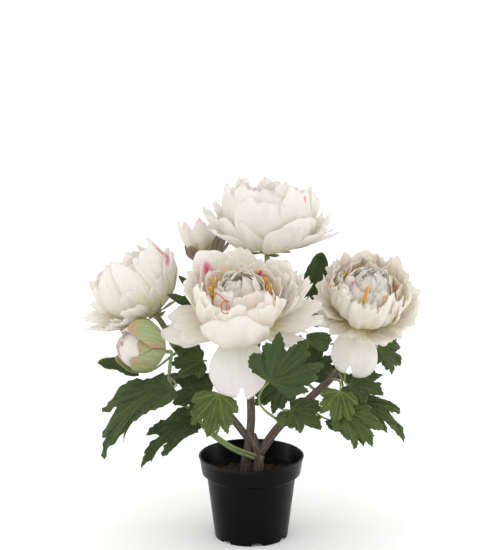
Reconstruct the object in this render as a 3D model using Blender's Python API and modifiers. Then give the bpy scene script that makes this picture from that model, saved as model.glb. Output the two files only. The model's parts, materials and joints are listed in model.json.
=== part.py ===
# A potted peony: four open blooms, two buds, lobed leaves, woody stems, soil and a plastic nursery pot.
# Metres, +Z up, the front is -Y. The origin is the centre of the pot's foot, on the surface it stands on.
# Shapes that grow are worked out in millimetres and turned into metres where their vertices are set.
import math
import random

import bmesh
import bpy
from mathutils import Matrix, Vector, noise

MM = 0.001
CLEARANCE = 0.3  # mm between two pieces that touch

# Nursery pot, mm
POT_HEIGHT = 96
POT_RIM_RADIUS = 60
POT_BAND_RADIUS = 56  # lower edge of the rim band
POT_BAND_HEIGHT = 21
POT_BODY_RADIUS = 50.5  # under the band
POT_FOOT_RADIUS = 41.5
POT_WALL = 1.2
POT_FLOOR_RAISE = 4  # the floor stands this far above the surface, outside the centre pad
POT_PAD_RADIUS = 13
POT_SIDES = 32
FOOT_NOTCHES = 7
FOOT_NOTCH_WIDTH = 15
FOOT_NOTCH_HEIGHT = 3.7
FOOT_NOTCH_TAPER = 0.72  # the width at its top as a share of the width at the foot
FIRST_NOTCH = -81  # degrees from +X to the notch at the front
DRAIN_HOLES = 5
DRAIN_HOLE_RADIUS = 3.5
DRAIN_HOLE_RING = 29  # from the pot's axis to a hole's

# Soil, mm
SOIL_TOP = 70
SOIL_MOUND = 5
SOIL_RELIEF = 1.2

# Blades, mm
PETAL_THICKNESS = 0.9
LEAF_THICKNESS = 0.9
SHORTEST_EDGES = (0.35, 0.25, 0.15, 0.05, 0.001)  # mm, of a fused piece: the first that leaves it closed
FLOWER_SIDES = 10  # of the turned solids in a flower
MOST_WRAP = 1.05  # how far round its bloom's axis half a petal reaches, in radians

# Looks: base colour, roughness, metallic
LOOKS = {
    "petal": ((0.90, 0.87, 0.80), 0.60, 0.0),
    "peach petal": ((0.90, 0.80, 0.68), 0.60, 0.0),
    "stamen": ((0.80, 0.50, 0.10), 0.65, 0.0),
    "sepal": ((0.30, 0.42, 0.16), 0.60, 0.0),
    "brown sepal": ((0.30, 0.20, 0.17), 0.60, 0.0),
    "leaf": ((0.07, 0.16, 0.05), 0.50, 0.0),
    "light leaf": ((0.24, 0.33, 0.07), 0.50, 0.0),
    "stem": ((0.17, 0.12, 0.09), 0.70, 0.0),
    "soil": ((0.06, 0.035, 0.02), 0.95, 0.0),
    "pot": ((0.02, 0.02, 0.023), 0.45, 0.0),
}
SMOOTH_ANGLE = 40  # degrees: a sharper fold than this stays an edge

# Stems: points along the middle in mm, with the radius at the first and last one. One that carries a flower
# goes on to the flower's own base, and is named as it is.
STEMS = {
    "trunk": (((-10, 5, 58), (-6, 3, 88), (-2, 2, 116), (0, 1, 142), (-1, 0, 168)), 5.6, 4.4),
    "root": (((7, -4, 58), (8, -4, 78), (8, -4, 98), (1, 0, 120)), 6.6, 4.6),
    "front": (((-1, 0, 160), (-3, -6, 196), (-6, -16, 230)), 4.2, 3.2),
    "top": (((-1, 0, 160), (4, 16, 205), (12, 30, 262)), 4.0, 3.0),
    "right": (((9, -4, 98), (32, -2, 130), (62, 2, 158), (92, 8, 186), (112, 17, 216)), 5.4, 3.0),
    "left": (((-2, 2, 112), (-24, 6, 140), (-55, 7, 172), (-70, 6, 198), (-88, 3, 226)), 4.4, 3.0),
    "low": (((7, -6, 94), (-20, -16, 108), (-48, -19, 130), (-74, -22, 160), (-90, -32, 188),
             (-90, -42, 214)), 4.2, 2.8),
    "back": (((4, 16, 205), (-14, 44, 238), (-36, 66, 268)), 3.2, 2.6),
}
STANDING = ("trunk", "root")

# Blooms. base is where the stalk meets the calyx in mm, faces the way the bloom looks. Each petal is given as
# its length and half width in mm and its lean from the bloom's axis in degrees, at its foot and at its tip.
# Guards are the outer petals, each with its azimuth first: 0 is to the right, 90 to the back or upwards.
# The cup, the inner cup, the ball and the heart are whorls of equal petals, one inside the other.
BLOOMS = {
    "front": dict(
        base=(-12, -42, 264), faces=(0.0, -0.70, 0.714), look="petal", seed=3, ruffle=1.0,
        sepals=(0, 60, 120, 185), turns=(170, 20, 70, 0),
        guards=((188, 82, 27, 92, 82), (268, 84, 33, 96, 140), (4, 89, 18, 90, 80), (28, 77, 18, 84, 58),
                (342, 70, 19, 95, 90), (84, 62, 30, 80, 22)),
        cup=(76, 34, 80, 14), inner=(64, 29, 75, 2), ball=(49, 21, 72, -50), heart=(34, 13, 44, -36)),
    "top": dict(
        base=(18, 35, 322), faces=(0.02, 0.03, 1.0), look="petal", seed=11, ruffle=1.0,
        sepals=(20, 110, 200, 290), turns=(180, 250, 40, 0),
        guards=((172, 84, 26, 80, 24), (206, 74, 27, 85, 48), (6, 79, 28, 86, 56), (40, 88, 27, 76, 12),
                (296, 66, 30, 81, 26), (108, 76, 28, 82, 28)),
        cup=(88, 36, 76, -2), inner=(76, 30, 75, -6), ball=(58, 24, 68, -52), heart=(42, 14, 40, -36)),
    "left": dict(
        base=(-106, 0, 259), faces=(-0.54, 0.0, 0.84), look="petal", seed=23, ruffle=0.8,
        sepals=(20, 110, 200, 290), turns=(185, 215, 40, 0),
        guards=((182, 82, 27, 80, 30), (214, 74, 26, 84, 50), (272, 66, 30, 78, 4), (330, 62, 27, 80, 10),
                (92, 66, 30, 80, 16)),
        cup=(82, 32, 76, -14), inner=(68, 29, 76, -16), ball=(50, 21, 68, -50), heart=(34, 13, 40, -34)),
    "right": dict(
        base=(124, 12, 256), faces=(0.14, -0.60, 0.785), look="peach petal", seed=37, ruffle=1.7,
        sepals=(20, 90, 160, 205), turns=(60, 100, 20, 0),
        guards=((262, 68, 27, 97, 148), (176, 64, 25, 85, 34), (214, 60, 22, 90, 52), (8, 64, 27, 84, 34),
                (326, 62, 27, 86, 48), (88, 68, 30, 78, 14)),
        cup=(67, 30, 78, 8), inner=(60, 27, 75, -2), ball=(46, 20, 70, -50), heart=(32, 12, 42, -34)),
}
# Each whorl's name, how many petals it has, the radius and height of their feet in mm, and their grid
WHORLS = (
    ("cup", 5, (9, 8.2), (4, 3)),
    ("inner", 4, (8, 10.2), (3, 3)),
    ("ball", 4, (4, 17), (3, 3)),
    ("heart", 2, (1.5, 20.5), (2, 3)),
)

# Under a bloom's petals, in mm: the calyx cup and the sepals that lie back from it, the boss that carries the
# petals, and the ring and the filaments of the stamens round the boss's neck
CALYX_TOP = 3.6
CALYX_CUP = ((0, CALYX_TOP), (9.0, CALYX_TOP), (7.5, 1.0), (4.4, CLEARANCE), (0, CLEARANCE))
CALYX_SEPALS = ((24, 8, 99, 86), (21, 8, 99, 86))  # the long ones and the short ones between them
BOSS_FOOT = CALYX_TOP + CLEARANCE
BOSS_STEP = 12.8  # where the boss narrows to its neck
PETAL_BOSS = ((0, 23), (4.2, 20.5), (5.4, BOSS_STEP), (11.5, BOSS_STEP - 0.2), (12.8, 8), (8.5, BOSS_FOOT),
              (0, BOSS_FOOT))
RING_FOOT = BOSS_STEP + CLEARANCE
STAMEN_RING = ((6.3, RING_FOOT), (6.3, 15.0), (10.2, 14.6), (10.4, RING_FOOT), (6.3, RING_FOOT))
FILAMENTS = 12
FILAMENT_ROOT = (8.4, 13.6)  # radius and height
FILAMENT_LENGTH = (0.50, 0.56)  # as shares of the ball's petals
FILAMENT_LEANS = (60, (20, 26))  # degrees at the foot, and the range at the tip
FILAMENT_RINGS = ((0.0, 0.0), (0.1, 0.7), (0.85, 1.5), (1.0, 0.0))  # share of the length, radius

# Buds: the same for their petals and for the sepals that clasp them
BUDS = {
    "low": dict(base=(-95, -50, 231), faces=(-0.92, -0.25, 0.28), look="sepal", size=1.0,
                rolled=(66, 28, 80, -66), sepals=(54, 23, 84, -34), around=(342, 254, 166, 78)),
    "back": dict(base=(-54, 80, 300), faces=(-0.12, 0.1, 0.98), look="brown sepal", size=0.7,
                 rolled=(50, 16, 52, -14), sepals=(36, 15, 72, -4), around=(0, 120, 240)),
}

BUD_CUP_TOP = 2.6
BUD_CUP = ((0, BUD_CUP_TOP), (6, BUD_CUP_TOP), (6.6, 2.0), (4.2, CLEARANCE), (0, CLEARANCE))
BUD_CORE = ((0, 36), (10, 29), (12, 18))  # above its foot, for a bud of size 1
BUD_CORE_FOOT = 5  # its radius
BUD_PETALS = (30, 150, 270)  # their azimuths

# Half outlines of the leaves: angle from the midrib in degrees, and radius as a share of the length
LONG = ((0, 1.0), (5, 0.80), (9, 0.84), (14, 0.60), (21, 0.50), (28, 0.72), (34, 0.58), (46, 0.42),
        (64, 0.30), (100, 0.16))
BROAD = ((0, 1.0), (8, 0.82), (14, 0.84), (21, 0.60), (30, 0.80), (38, 0.92), (46, 0.74), (55, 0.76),
         (66, 0.50), (82, 0.62), (98, 0.52), (122, 0.26))
SLIM = ((0, 1.0), (4, 0.80), (8, 0.78), (12, 0.56), (20, 0.40), (36, 0.26), (80, 0.12))
FORKED = ((0, 0.50), (8, 0.66), (14, 1.0), (20, 0.80), (27, 0.52), (46, 0.28), (66, 0.38), (82, 0.50),
          (100, 0.16))

# Leaves: the stem each grows from and how far along it, where its blade begins and its tip in mm, which way
# its upper face looks, its outline, how many degrees it arches and its width as a share of the outline's.
LEAVES = {
    "low_left": ("low", 0.56, (-86, -64, 194), (-161, -78, 116), (-0.5, -0.5, 0.7), LONG, 88, 0.8),
    "low_centre": ("low", 0.30, (-61, -48, 151), (-121, -66, 101), (-0.3, -0.4, 0.8), LONG, 55, 0.88),
    "bright": ("low", 0.22, (-36, -70, 189), (-48, -84, 143), (-0.1, -0.95, 0.3), BROAD, 25, 0.72),
    "dark": ("low", 0.28, (-44, -35, 180), (-88, -44, 170), (-0.1, -0.7, 0.7), BROAD, 35, 0.95),
    "front_right": ("right", 0.16, (19, -101, 211), (62, -118, 264), (0.2, -0.95, 0.1), BROAD, 22, 0.74),
    "under_front": ("right", 0.22, (38, -20, 188), (4, -30, 163), (-0.1, -0.8, 0.5), BROAD, 30, 0.85),
    "behind_front": ("right", 0.34, (59, 32, 184), (81, 22, 228), (0.1, -0.8, 0.5), BROAD, 30, 0.8),
    "light_right": ("right", 0.38, (101, -50, 162), (134, -72, 128), (0.2, -0.6, 0.7), BROAD, 40, 0.72),
    "beneath": ("right", 0.60, (87, -9, 229), (61, -38, 247), (-0.1, -0.85, 0.2), SLIM, 30, 1.6),
    "front_low": ("right", 0.18, (43, -42, 161), (78, -64, 147), (0.2, -0.5, 0.8), BROAD, 30, 1.0),
    "yellow": ("right", 0.42, (98, -50, 186), (90, -72, 154), (0.2, -0.8, 0.6), BROAD, 30, 0.75),
    "far_right": ("right", 0.46, (113, -18, 162), (175, -34, 122), (0.2, -0.4, 0.9), LONG, 60, 0.8),
    "low_right": ("right", 0.28, (88, -20, 143), (127, -46, 122), (0.2, -0.3, 0.9), LONG, 40, 1.0),
    "under_right": ("right", 0.50, (110, -18, 184), (148, -36, 178), (0.1, -0.5, 0.8), BROAD, 40, 1.0),
    "beside_right": ("right", 0.72, (145, 36, 213), (172, 46, 188), (0.3, -0.6, 0.7), BROAD, 30, 1.0),
    "under_left": ("left", 0.46, (-54, -26, 214), (-92, -30, 210), (-0.1, -0.7, 0.7), BROAD, 30, 0.85),
    "beside_bud": ("left", 0.52, (-128, 8, 192), (-174, 4, 204), (-0.1, -0.7, 0.7), SLIM, 30, 1.3),
    "between": ("left", 0.70, (-50, -18, 274), (-88, -32, 303), (-0.2, -0.9, 0.4), FORKED, 20, 1.0),
    "behind_right": ("top", 0.55, (66, 58, 268), (81, 62, 318), (0.2, -0.8, 0.3), SLIM, 20, 1.6),
    "back_low_left": ("left", 0.26, (-56, 52, 170), (-120, 84, 128), (-0.3, 0.5, 0.8), LONG, 60, 1.1),
    "back_low_right": ("right", 0.34, (70, 56, 172), (132, 92, 134), (0.3, 0.5, 0.8), LONG, 60, 1.1),
    "back_centre": ("trunk", 0.85, (4, 62, 176), (6, 124, 132), (0.0, 0.5, 0.9), BROAD, 60, 0.95),
    "back_high": ("top", 0.42, (48, 80, 236), (78, 122, 212), (0.3, 0.7, 0.7), BROAD, 45, 1.0),
}
LIGHT_LEAVES = ("bright", "yellow")
STALK_GAP = 0.9  # mm from the end of a leaf's stalk to the foot of its blade


def clear_scene():
    for obj in list(bpy.data.objects):
        bpy.data.objects.remove(obj)


def make_material(name, look):
    colour, roughness, metallic = LOOKS[look]
    material = bpy.data.materials.new(name)
    material.use_nodes = True
    shader = material.node_tree.nodes["Principled BSDF"]
    shader.inputs["Base Color"].default_value = (*colour, 1.0)
    shader.inputs["Roughness"].default_value = roughness
    shader.inputs["Metallic"].default_value = metallic
    return material


def new_object(name, mesh, collection, look=None):
    """An object for a mesh. With a look it is a piece of the plant, and has a material of its own."""
    obj = bpy.data.objects.new(name, mesh)
    if look:
        mesh.materials.append(make_material(name, look))
    collection.objects.link(obj)
    return obj


def new_cutter(name, mesh, collection):
    cutter = new_object(name, mesh, collection)
    cutter.hide_render = True
    cutter.display_type = "WIRE"
    return cutter


def shade(obj):
    """Smooth shading, with the folds sharper than SMOOTH_ANGLE kept as edges."""
    obj.data.shade_smooth()
    obj.data.set_sharp_from_angle(angle=math.radians(SMOOTH_ANGLE))


def applied(obj):
    """Gives obj the mesh that its modifiers make, and drops them."""
    bpy.context.view_layer.update()
    graph = bpy.context.evaluated_depsgraph_get()
    mesh = bpy.data.meshes.new_from_object(obj.evaluated_get(graph))
    obj.modifiers.clear()
    obj.data = mesh
    return obj


def mapped_grid(name, columns, rows, place, collection, closed=False, look=None):
    """A grid of triangles whose point at s from 0 to 1 and t from -1 to 1 goes to place(s, t), in mm."""
    grid = bmesh.new()
    bmesh.ops.create_grid(grid, x_segments=columns, y_segments=rows, size=1)
    for vertex in grid.verts:
        vertex.co = Vector(place((vertex.co.y + 1) / 2, vertex.co.x)) * MM
    bmesh.ops.remove_doubles(grid, verts=grid.verts[:], dist=1e-6)
    bmesh.ops.triangulate(grid, faces=grid.faces[:])
    if closed:
        bmesh.ops.recalc_face_normals(grid, faces=grid.faces[:])
    mesh = bpy.data.meshes.new(name)
    grid.to_mesh(mesh)
    grid.free()
    return new_object(name, mesh, collection, look)


def blade(name, columns, rows, place, thickness, collection, look=None):
    """A thin closed blade on a mapped grid, split into triangles alike on both faces."""
    obj = mapped_grid(name, columns, rows, place, collection, look=look)
    solidify = obj.modifiers.new("thickness", "SOLIDIFY")
    solidify.thickness = thickness * MM
    solidify.offset = 0
    return applied(obj)


def tube(name, points, radii, sides_step, collection):
    """A closed tube through points in mm, with 4 + 2 * sides_step sides."""
    curve = bpy.data.curves.new(name, "CURVE")
    curve.dimensions = "3D"
    curve.bevel_depth = MM
    curve.bevel_resolution = sides_step
    curve.use_fill_caps = True
    spline = curve.splines.new("POLY")
    spline.points.add(len(points) - 1)
    for spot, point, radius in zip(spline.points, points, radii):
        spot.co = (*(Vector(point) * MM), 1)
        spot.radius = radius
    guide = bpy.data.objects.new(name + "_curve", curve)
    collection.objects.link(guide)
    bpy.context.view_layer.update()
    graph = bpy.context.evaluated_depsgraph_get()
    mesh = bpy.data.meshes.new_from_object(guide.evaluated_get(graph))
    bpy.data.objects.remove(guide)
    weld = bmesh.new()
    weld.from_mesh(mesh)
    bmesh.ops.remove_doubles(weld, verts=weld.verts[:], dist=1e-6)
    weld.to_mesh(mesh)
    weld.free()
    return new_object(name, mesh, collection)


def boolean(body, operation, others):
    """Joins the objects of a collection to body, or cuts them from it, with one Boolean, and removes them."""
    modifier = body.modifiers.new(operation.lower(), "BOOLEAN")
    modifier.operation = operation
    modifier.operand_type = "COLLECTION"
    modifier.collection = others
    modifier.solver = "EXACT"
    applied(body)
    for obj in list(others.objects):
        bpy.data.objects.remove(obj)
    bpy.data.collections.remove(others)


def fuse(body, repeats):
    boolean(body, "UNION", repeats)
    tidy_union(body)


def pieces_of(shell):
    """The vertices of each piece of a surface that its edges connect, the largest piece last."""
    pieces = []
    left = set(shell.faces)
    while left:
        piece = [left.pop()]
        for face in piece:
            beside = {other for edge in face.edges for other in edge.link_faces} & left
            left -= beside
            piece.extend(beside)
        pieces.append({vertex for face in piece for vertex in face.verts})
    return sorted(pieces, key=len)


def tidy_union(obj):
    """Removes what a union leaves: every connected piece of the surface but the largest, and tiny edges."""
    shell = bmesh.new()
    shell.from_mesh(obj.data)
    inside = [vertex for piece in pieces_of(shell)[:-1] for vertex in piece]
    bmesh.ops.delete(shell, geom=inside, context="VERTS")
    for shortest in SHORTEST_EDGES:
        lighter = shell.copy()
        bmesh.ops.dissolve_degenerate(lighter, dist=shortest * MM, edges=lighter.edges[:])
        bmesh.ops.triangulate(lighter, faces=lighter.faces[:])
        closed = all(edge.is_manifold and edge.is_contiguous for edge in lighter.edges)
        whole = closed and len(pieces_of(lighter)) == 1
        lighter.to_mesh(obj.data)
        lighter.free()
        if whole:
            break
    shell.free()


def new_collection(name):
    collection = bpy.data.collections.new(name)
    bpy.context.scene.collection.children.link(collection)
    return collection


def turned(name, profile, steps, collection, look=None):
    """A solid turned about Z from a profile of (radius, height) in mm that runs down its outer side."""
    mesh = bpy.data.meshes.new(name)
    corners = [(radius * MM, 0, height * MM) for radius, height in profile]
    mesh.from_pydata(corners, [(i, i + 1) for i in range(len(corners) - 1)], [])
    obj = new_object(name, mesh, collection, look)
    screw = obj.modifiers.new("turn", "SCREW")
    screw.steps = screw.render_steps = steps
    screw.use_merge_vertices = True
    screw.merge_threshold = 1e-5
    return applied(obj)


def smooth_path(points, steps):
    """A Catmull-Rom curve through the points, with this many stretches from each one to the next."""
    points = [Vector(p) for p in points]
    ends = [2 * points[0] - points[1], *points, 2 * points[-1] - points[-2]]
    path = [points[0]]
    for a, b, c, d in zip(ends, ends[1:], ends[2:], ends[3:]):
        for i in range(1, steps + 1):
            u = i / steps
            bend = (2 * a - 5 * b + 4 * c - d) * u**2 + (3 * b - a - 3 * c + d) * u**3
            path.append(0.5 * (2 * b + (c - a) * u + bend))
    return path


def blend(a, b, share):
    return a + (b - a) * share


def flower_frame(plan):
    """The matrix that puts a flower's own frame, its axis along +Z, on its stalk."""
    axis = Vector(plan["faces"]).normalized()
    tilt = Vector((0, 0, 1)).rotation_difference(axis).to_matrix().to_4x4()
    return Matrix.Translation(Vector(plan["base"]) * MM) @ tilt


def petal_plan(shape, azimuth, root, **more):
    length, half, start, end = shape
    petal = dict(length=length, half=half, start=start, end=end, azimuth=azimuth, root=root,
                 shingle=2.0, cup=2.0, wave=0.0, phase=0.0, notch=0.0, grid=(4, 3))
    petal.update(more)
    return petal


def petal_place(petal):
    """The function from shares (s along, t across) to a point of the petal in its flower's frame, in mm."""
    steps = 24
    start, end = math.radians(petal["start"]), math.radians(petal["end"])
    radius, height = petal["root"]
    line = [(radius, height, start)]
    for i in range(steps):
        lean = blend(start, end, (i + 0.5) / steps)
        radius += math.sin(lean) * petal["length"] / steps
        height += math.cos(lean) * petal["length"] / steps
        line.append((radius, height, blend(start, end, (i + 1) / steps)))
    azimuth = Matrix.Rotation(math.radians(petal["azimuth"]), 3, "Z")

    def place(s, t):
        notch = petal["notch"] * max(0.0, 1 - abs(t) / 0.3)
        s_here = s * (1 - 0.24 * abs(t) ** 2.4 - notch)
        spot = min(s_here * steps, steps - 1e-6)
        low = int(spot)
        r, z, lean = (blend(a, b, spot - low) for a, b in zip(line[low], line[low + 1]))
        widest = math.sin(min(1.0, s_here / 0.7) * math.pi / 2)
        half = petal["half"] * widest * (1 - 0.10 * max(0.0, s_here - 0.7) / 0.3)
        wave = petal["wave"] * s_here**2 * math.sin(4.2 * t + petal["phase"])
        inward = petal["cup"] * s_here * t * t + wave + petal["shingle"] * t * min(1.0, s_here / 0.2)
        bend = max(r, 6.0)
        angle = t * min(half / bend, MOST_WRAP)
        across = bend * math.sin(angle)
        out = r - bend * (1 - math.cos(angle)) - math.cos(lean) * inward
        return azimuth @ Vector((out, across, z + math.sin(lean) * inward))

    return place


def petals_of(plan):
    """Every petal of a bloom as a dictionary, from the guards to the heart."""
    draw = random.Random(plan["seed"])
    petals = []
    for i, (azimuth, *shape) in enumerate(plan["guards"]):
        spread, hanging = shape[3] > 60, shape[3] > 100
        petals.append(petal_plan(shape, azimuth, (9, 5.2 + 1.6 * (i % 2)), cup=-2.0 if spread else 2.0,
                                 shingle=0.0, wave=1.6 * plan["ruffle"], phase=draw.uniform(0, 6.3),
                                 notch=0.18 if hanging else draw.choice((0.0, 0.08)),
                                 grid=(4, 3) if hanging else (3, 3)))
    for (whorl, count, root, grid), first in zip(WHORLS, plan["turns"]):
        for i in range(count):
            length, *shape = plan[whorl]
            length *= draw.uniform(0.95, 1.05)
            petals.append(petal_plan((length, *shape), first + 360 * i / count, root, grid=grid,
                                     wave=plan["ruffle"] * (0.4 if whorl == "ball" else 1.0),
                                     phase=draw.uniform(0, 6.3), notch=draw.choice((0.0, 0.07, 0.12))))
    return petals


def make_calyx(name, plan, frame, collection):
    """The green cup under a bloom, with sepals that lie back under the petals."""
    calyx = turned("calyx_" + name, CALYX_CUP, FLOWER_SIDES, collection, "sepal")
    repeats = new_collection("repeats")
    for i, azimuth in enumerate(plan["sepals"]):
        sepal = petal_plan(CALYX_SEPALS[i % 2], azimuth, (5, 2.2), cup=1.5, shingle=0.0)
        blade("sepal", 2, 2, petal_place(sepal), PETAL_THICKNESS, repeats)
    fuse(calyx, repeats)
    calyx.matrix_world = frame


def make_petals(name, plan, frame, collection):
    """The white petals on their boss: a disc with a neck that carries the ball in the middle."""
    boss = turned("petals_" + name, PETAL_BOSS, FLOWER_SIDES, collection, plan["look"])
    repeats = new_collection("repeats")
    for petal in petals_of(plan):
        columns, rows = petal["grid"]
        blade("petal", columns, rows, petal_place(petal), PETAL_THICKNESS, repeats)
    fuse(boss, repeats)
    boss.matrix_world = frame


def filament_place(azimuth, length, start, end):
    """A three-sided filament that widens into its anther, on a mapped grid: s along it, t round it."""
    steps = 12
    turn = Matrix.Rotation(azimuth, 3, "Z")

    def middle(share):
        r, z = FILAMENT_ROOT
        for i in range(round(steps * share)):
            lean = blend(start, end, (i + 0.5) / steps)
            r += math.sin(lean) * length / steps
            z += math.cos(lean) * length / steps
        return r, z, blend(start, end, share)

    def place(s, t):
        share, radius = FILAMENT_RINGS[round(s * 3)]
        r, z, lean = middle(share)
        out, across = radius * math.cos(math.pi * t), radius * math.sin(math.pi * t)
        return turn @ Vector((r + out * math.cos(lean), across, z - out * math.sin(lean)))

    return place


def make_stamens(name, plan, frame, collection):
    """A ring round the neck with a crown of filaments, in the gap between the cup and the ball."""
    ring = turned("stamens_" + name, STAMEN_RING, FLOWER_SIDES, collection, "stamen")
    draw = random.Random(plan["seed"] + 100)
    repeats = new_collection("repeats")
    for i in range(FILAMENTS):
        azimuth = 2 * math.pi * (i + draw.uniform(-0.2, 0.2)) / FILAMENTS
        length = plan["ball"][0] * draw.uniform(*FILAMENT_LENGTH)
        start, end = math.radians(FILAMENT_LEANS[0]), math.radians(draw.uniform(*FILAMENT_LEANS[1]))
        mapped_grid("filament", 3, 3, filament_place(azimuth, length, start, end), repeats, closed=True)
    fuse(ring, repeats)
    ring.matrix_world = frame


def make_bud(name, plan, collection):
    """A closing bud: white petals rolled on a core, and sepals that clasp them from a green cup."""
    frame = flower_frame(plan)
    low = BUD_CUP_TOP + CLEARANCE
    profile = [(radius * plan["size"], height * plan["size"]) for radius, height in BUD_CORE]
    profile += [(BUD_CORE_FOOT, low), (0, low)]
    core = turned("bud_" + name + "_petals", profile, FLOWER_SIDES, collection, "petal")
    repeats = new_collection("repeats")
    for azimuth in BUD_PETALS:
        petal = petal_plan(plan["rolled"], azimuth, (3, 4.6), shingle=0.8, cup=0.0, notch=0.04, grid=(4, 4))
        blade("petal", *petal["grid"], petal_place(petal), PETAL_THICKNESS, repeats)
    fuse(core, repeats)
    core.matrix_world = frame
    cup = turned("bud_" + name + "_sepals", BUD_CUP, FLOWER_SIDES, collection, plan["look"])
    repeats = new_collection("repeats")
    for azimuth in plan["around"]:
        sepal = petal_plan(plan["sepals"], azimuth, (4.6, 1.9), shingle=0.8, cup=0.0)
        blade("sepal", *sepal["grid"], petal_place(sepal), PETAL_THICKNESS, repeats)
    fuse(cup, repeats)
    cup.matrix_world = frame


def leaf_place(outline, length, arch, width, fold):
    """The function from shares (s out from the blade's foot, t round it) to a point of the leaf, in mm.

    The foot is at the origin, the midrib starts along +Y and the upper face looks along +Z."""
    half = [(math.radians(angle) * width, radius) for angle, radius in outline]
    whole = [(-angle, radius) for angle, radius in reversed(half)] + half[1:]
    last = len(whole) - 1
    bend = length / math.radians(arch)

    def place(s, t):
        angle, radius = whole[round((t + 1) / 2 * last)]
        across, along = length * radius * s * math.sin(angle), length * radius * s * math.cos(angle)
        lift = fold * abs(across) - 0.35 * across * across / length
        turn = along / bend
        return across, (bend + lift) * math.sin(turn), (bend + lift) * math.cos(turn) - bend

    return place, last


def stem_points(name):
    points = [Vector(p) for p in STEMS[name][0]]
    flower = BLOOMS.get(name) or BUDS.get(name)
    if flower:
        base = Vector(flower["base"])
        axis = Vector(flower["faces"]).normalized()
        neck = 15 if name in BLOOMS else 8
        points += [base - axis * neck, base - axis * neck * 0.2, base]
    return points


def leaf_frame(foot, tip, looks, arch):
    """The matrix of a leaf: its foot, its midrib's first direction as Y and its upper face as Z."""
    ahead = (tip - foot).normalized()
    up = Vector(looks)
    up = (up - up.dot(ahead) * ahead).normalized()
    lean = Matrix.Rotation(math.radians(arch / 2), 3, ahead.cross(up))
    along, normal = lean @ ahead, lean @ up
    frame = Matrix((along.cross(normal), along, normal)).transposed().to_4x4()
    frame.translation = foot * MM
    return frame


def make_leaf(name, collection):
    _, _, foot, tip, looks, outline, arch, width = LEAVES[name]
    foot, tip = Vector(foot), Vector(tip)
    length = (tip - foot).length * math.radians(arch / 2) / math.sin(math.radians(arch / 2))
    place, columns = leaf_place(outline, length, arch, width, 0.12)
    look = "light leaf" if name in LIGHT_LEAVES else "leaf"
    leaf = blade("leaf_" + name, columns, 2, place, LEAF_THICKNESS, collection, look)
    leaf.matrix_world = leaf_frame(foot, tip, looks, arch)


def stalk_path(name):
    """The middle of a leaf's stalk in mm, from inside its stem to just short of the blade's foot."""
    stem, share, foot, tip, looks, _, arch, _ = LEAVES[name]
    frame = leaf_frame(Vector(foot), Vector(tip), looks, arch)
    along = frame.col[1].to_3d()
    end = Vector(foot) - along * STALK_GAP
    path = smooth_path(stem_points(stem), 4)
    spot = share * (len(path) - 1)
    low = min(int(spot), len(path) - 2)
    root = path[low].lerp(path[low + 1], spot - low)
    run = (path[low + 1] - path[low]).normalized()
    away = end - root
    away = (away - 0.7 * away.dot(run) * run).normalized()
    reach = (end - root).length
    b, c = root + away * reach * 0.4, end - along * reach * 0.35
    return [(1 - u) ** 3 * root + 3 * u * (1 - u) ** 2 * b + 3 * u * u * (1 - u) * c + u**3 * end
            for u in (0.0, 0.4, 0.8, 1.0)]


def make_stems(collection):
    """The woody stems and the leaves' stalks, fused where they branch."""
    repeats = new_collection("repeats")
    body = None
    for name, (_, first, last) in STEMS.items():
        path = smooth_path(stem_points(name), 2)
        radii = [blend(first, last, i / (len(path) - 1)) for i in range(len(path))]
        branch = tube(name, path, radii, 2 if first > 5 else 1, repeats if body else collection)
        body = body or branch
    for name in LEAVES:
        tube("stalk", stalk_path(name), (1.6, 1.4, 1.3, 0.8), 0, repeats)
    body.name = "stems"
    body.data.materials.append(make_material("stems", "stem"))
    fuse(body, repeats)


def soil_radius(height):
    """The radius of the pot's inner wall at a height, less the clearance, in mm."""
    share = height / (POT_HEIGHT - POT_BAND_HEIGHT - 4)
    return blend(POT_FOOT_RADIUS, POT_BODY_RADIUS, share) - POT_WALL - CLEARANCE - 0.2


def make_soil(collection):
    """A plug of soil with a rough mounded top, and a plain hole for each stem that stands in it."""
    floor = POT_FLOOR_RAISE + POT_WALL + CLEARANCE + 0.2
    shares = (0.0, 0.33, 0.67, 1.0)
    top = [(soil_radius(SOIL_TOP) * share, SOIL_TOP + SOIL_MOUND * (1 - share**2)) for share in shares]
    soil = turned("soil", [*top, (soil_radius(floor), floor), (0, floor)], 24, collection, "soil")
    for vertex in soil.data.vertices:
        if vertex.co.z > (SOIL_TOP + 0.5) * MM:
            vertex.co.z += SOIL_RELIEF * MM * noise.noise(vertex.co * 90)
    cutters = new_collection("cutters")
    for stem in STANDING:
        points, first, _ = STEMS[stem]
        start, above = Vector(points[0]), Vector(points[1])
        run = (above - start).normalized()
        ends = (start - run * CLEARANCE * 1.5, start + run * 30)
        hole = tube("hole_" + stem, ends, [first + 0.6] * 2, 2, cutters)
        hole.hide_render = True
        hole.display_type = "WIRE"
    boolean(soil, "DIFFERENCE", cutters)


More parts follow.
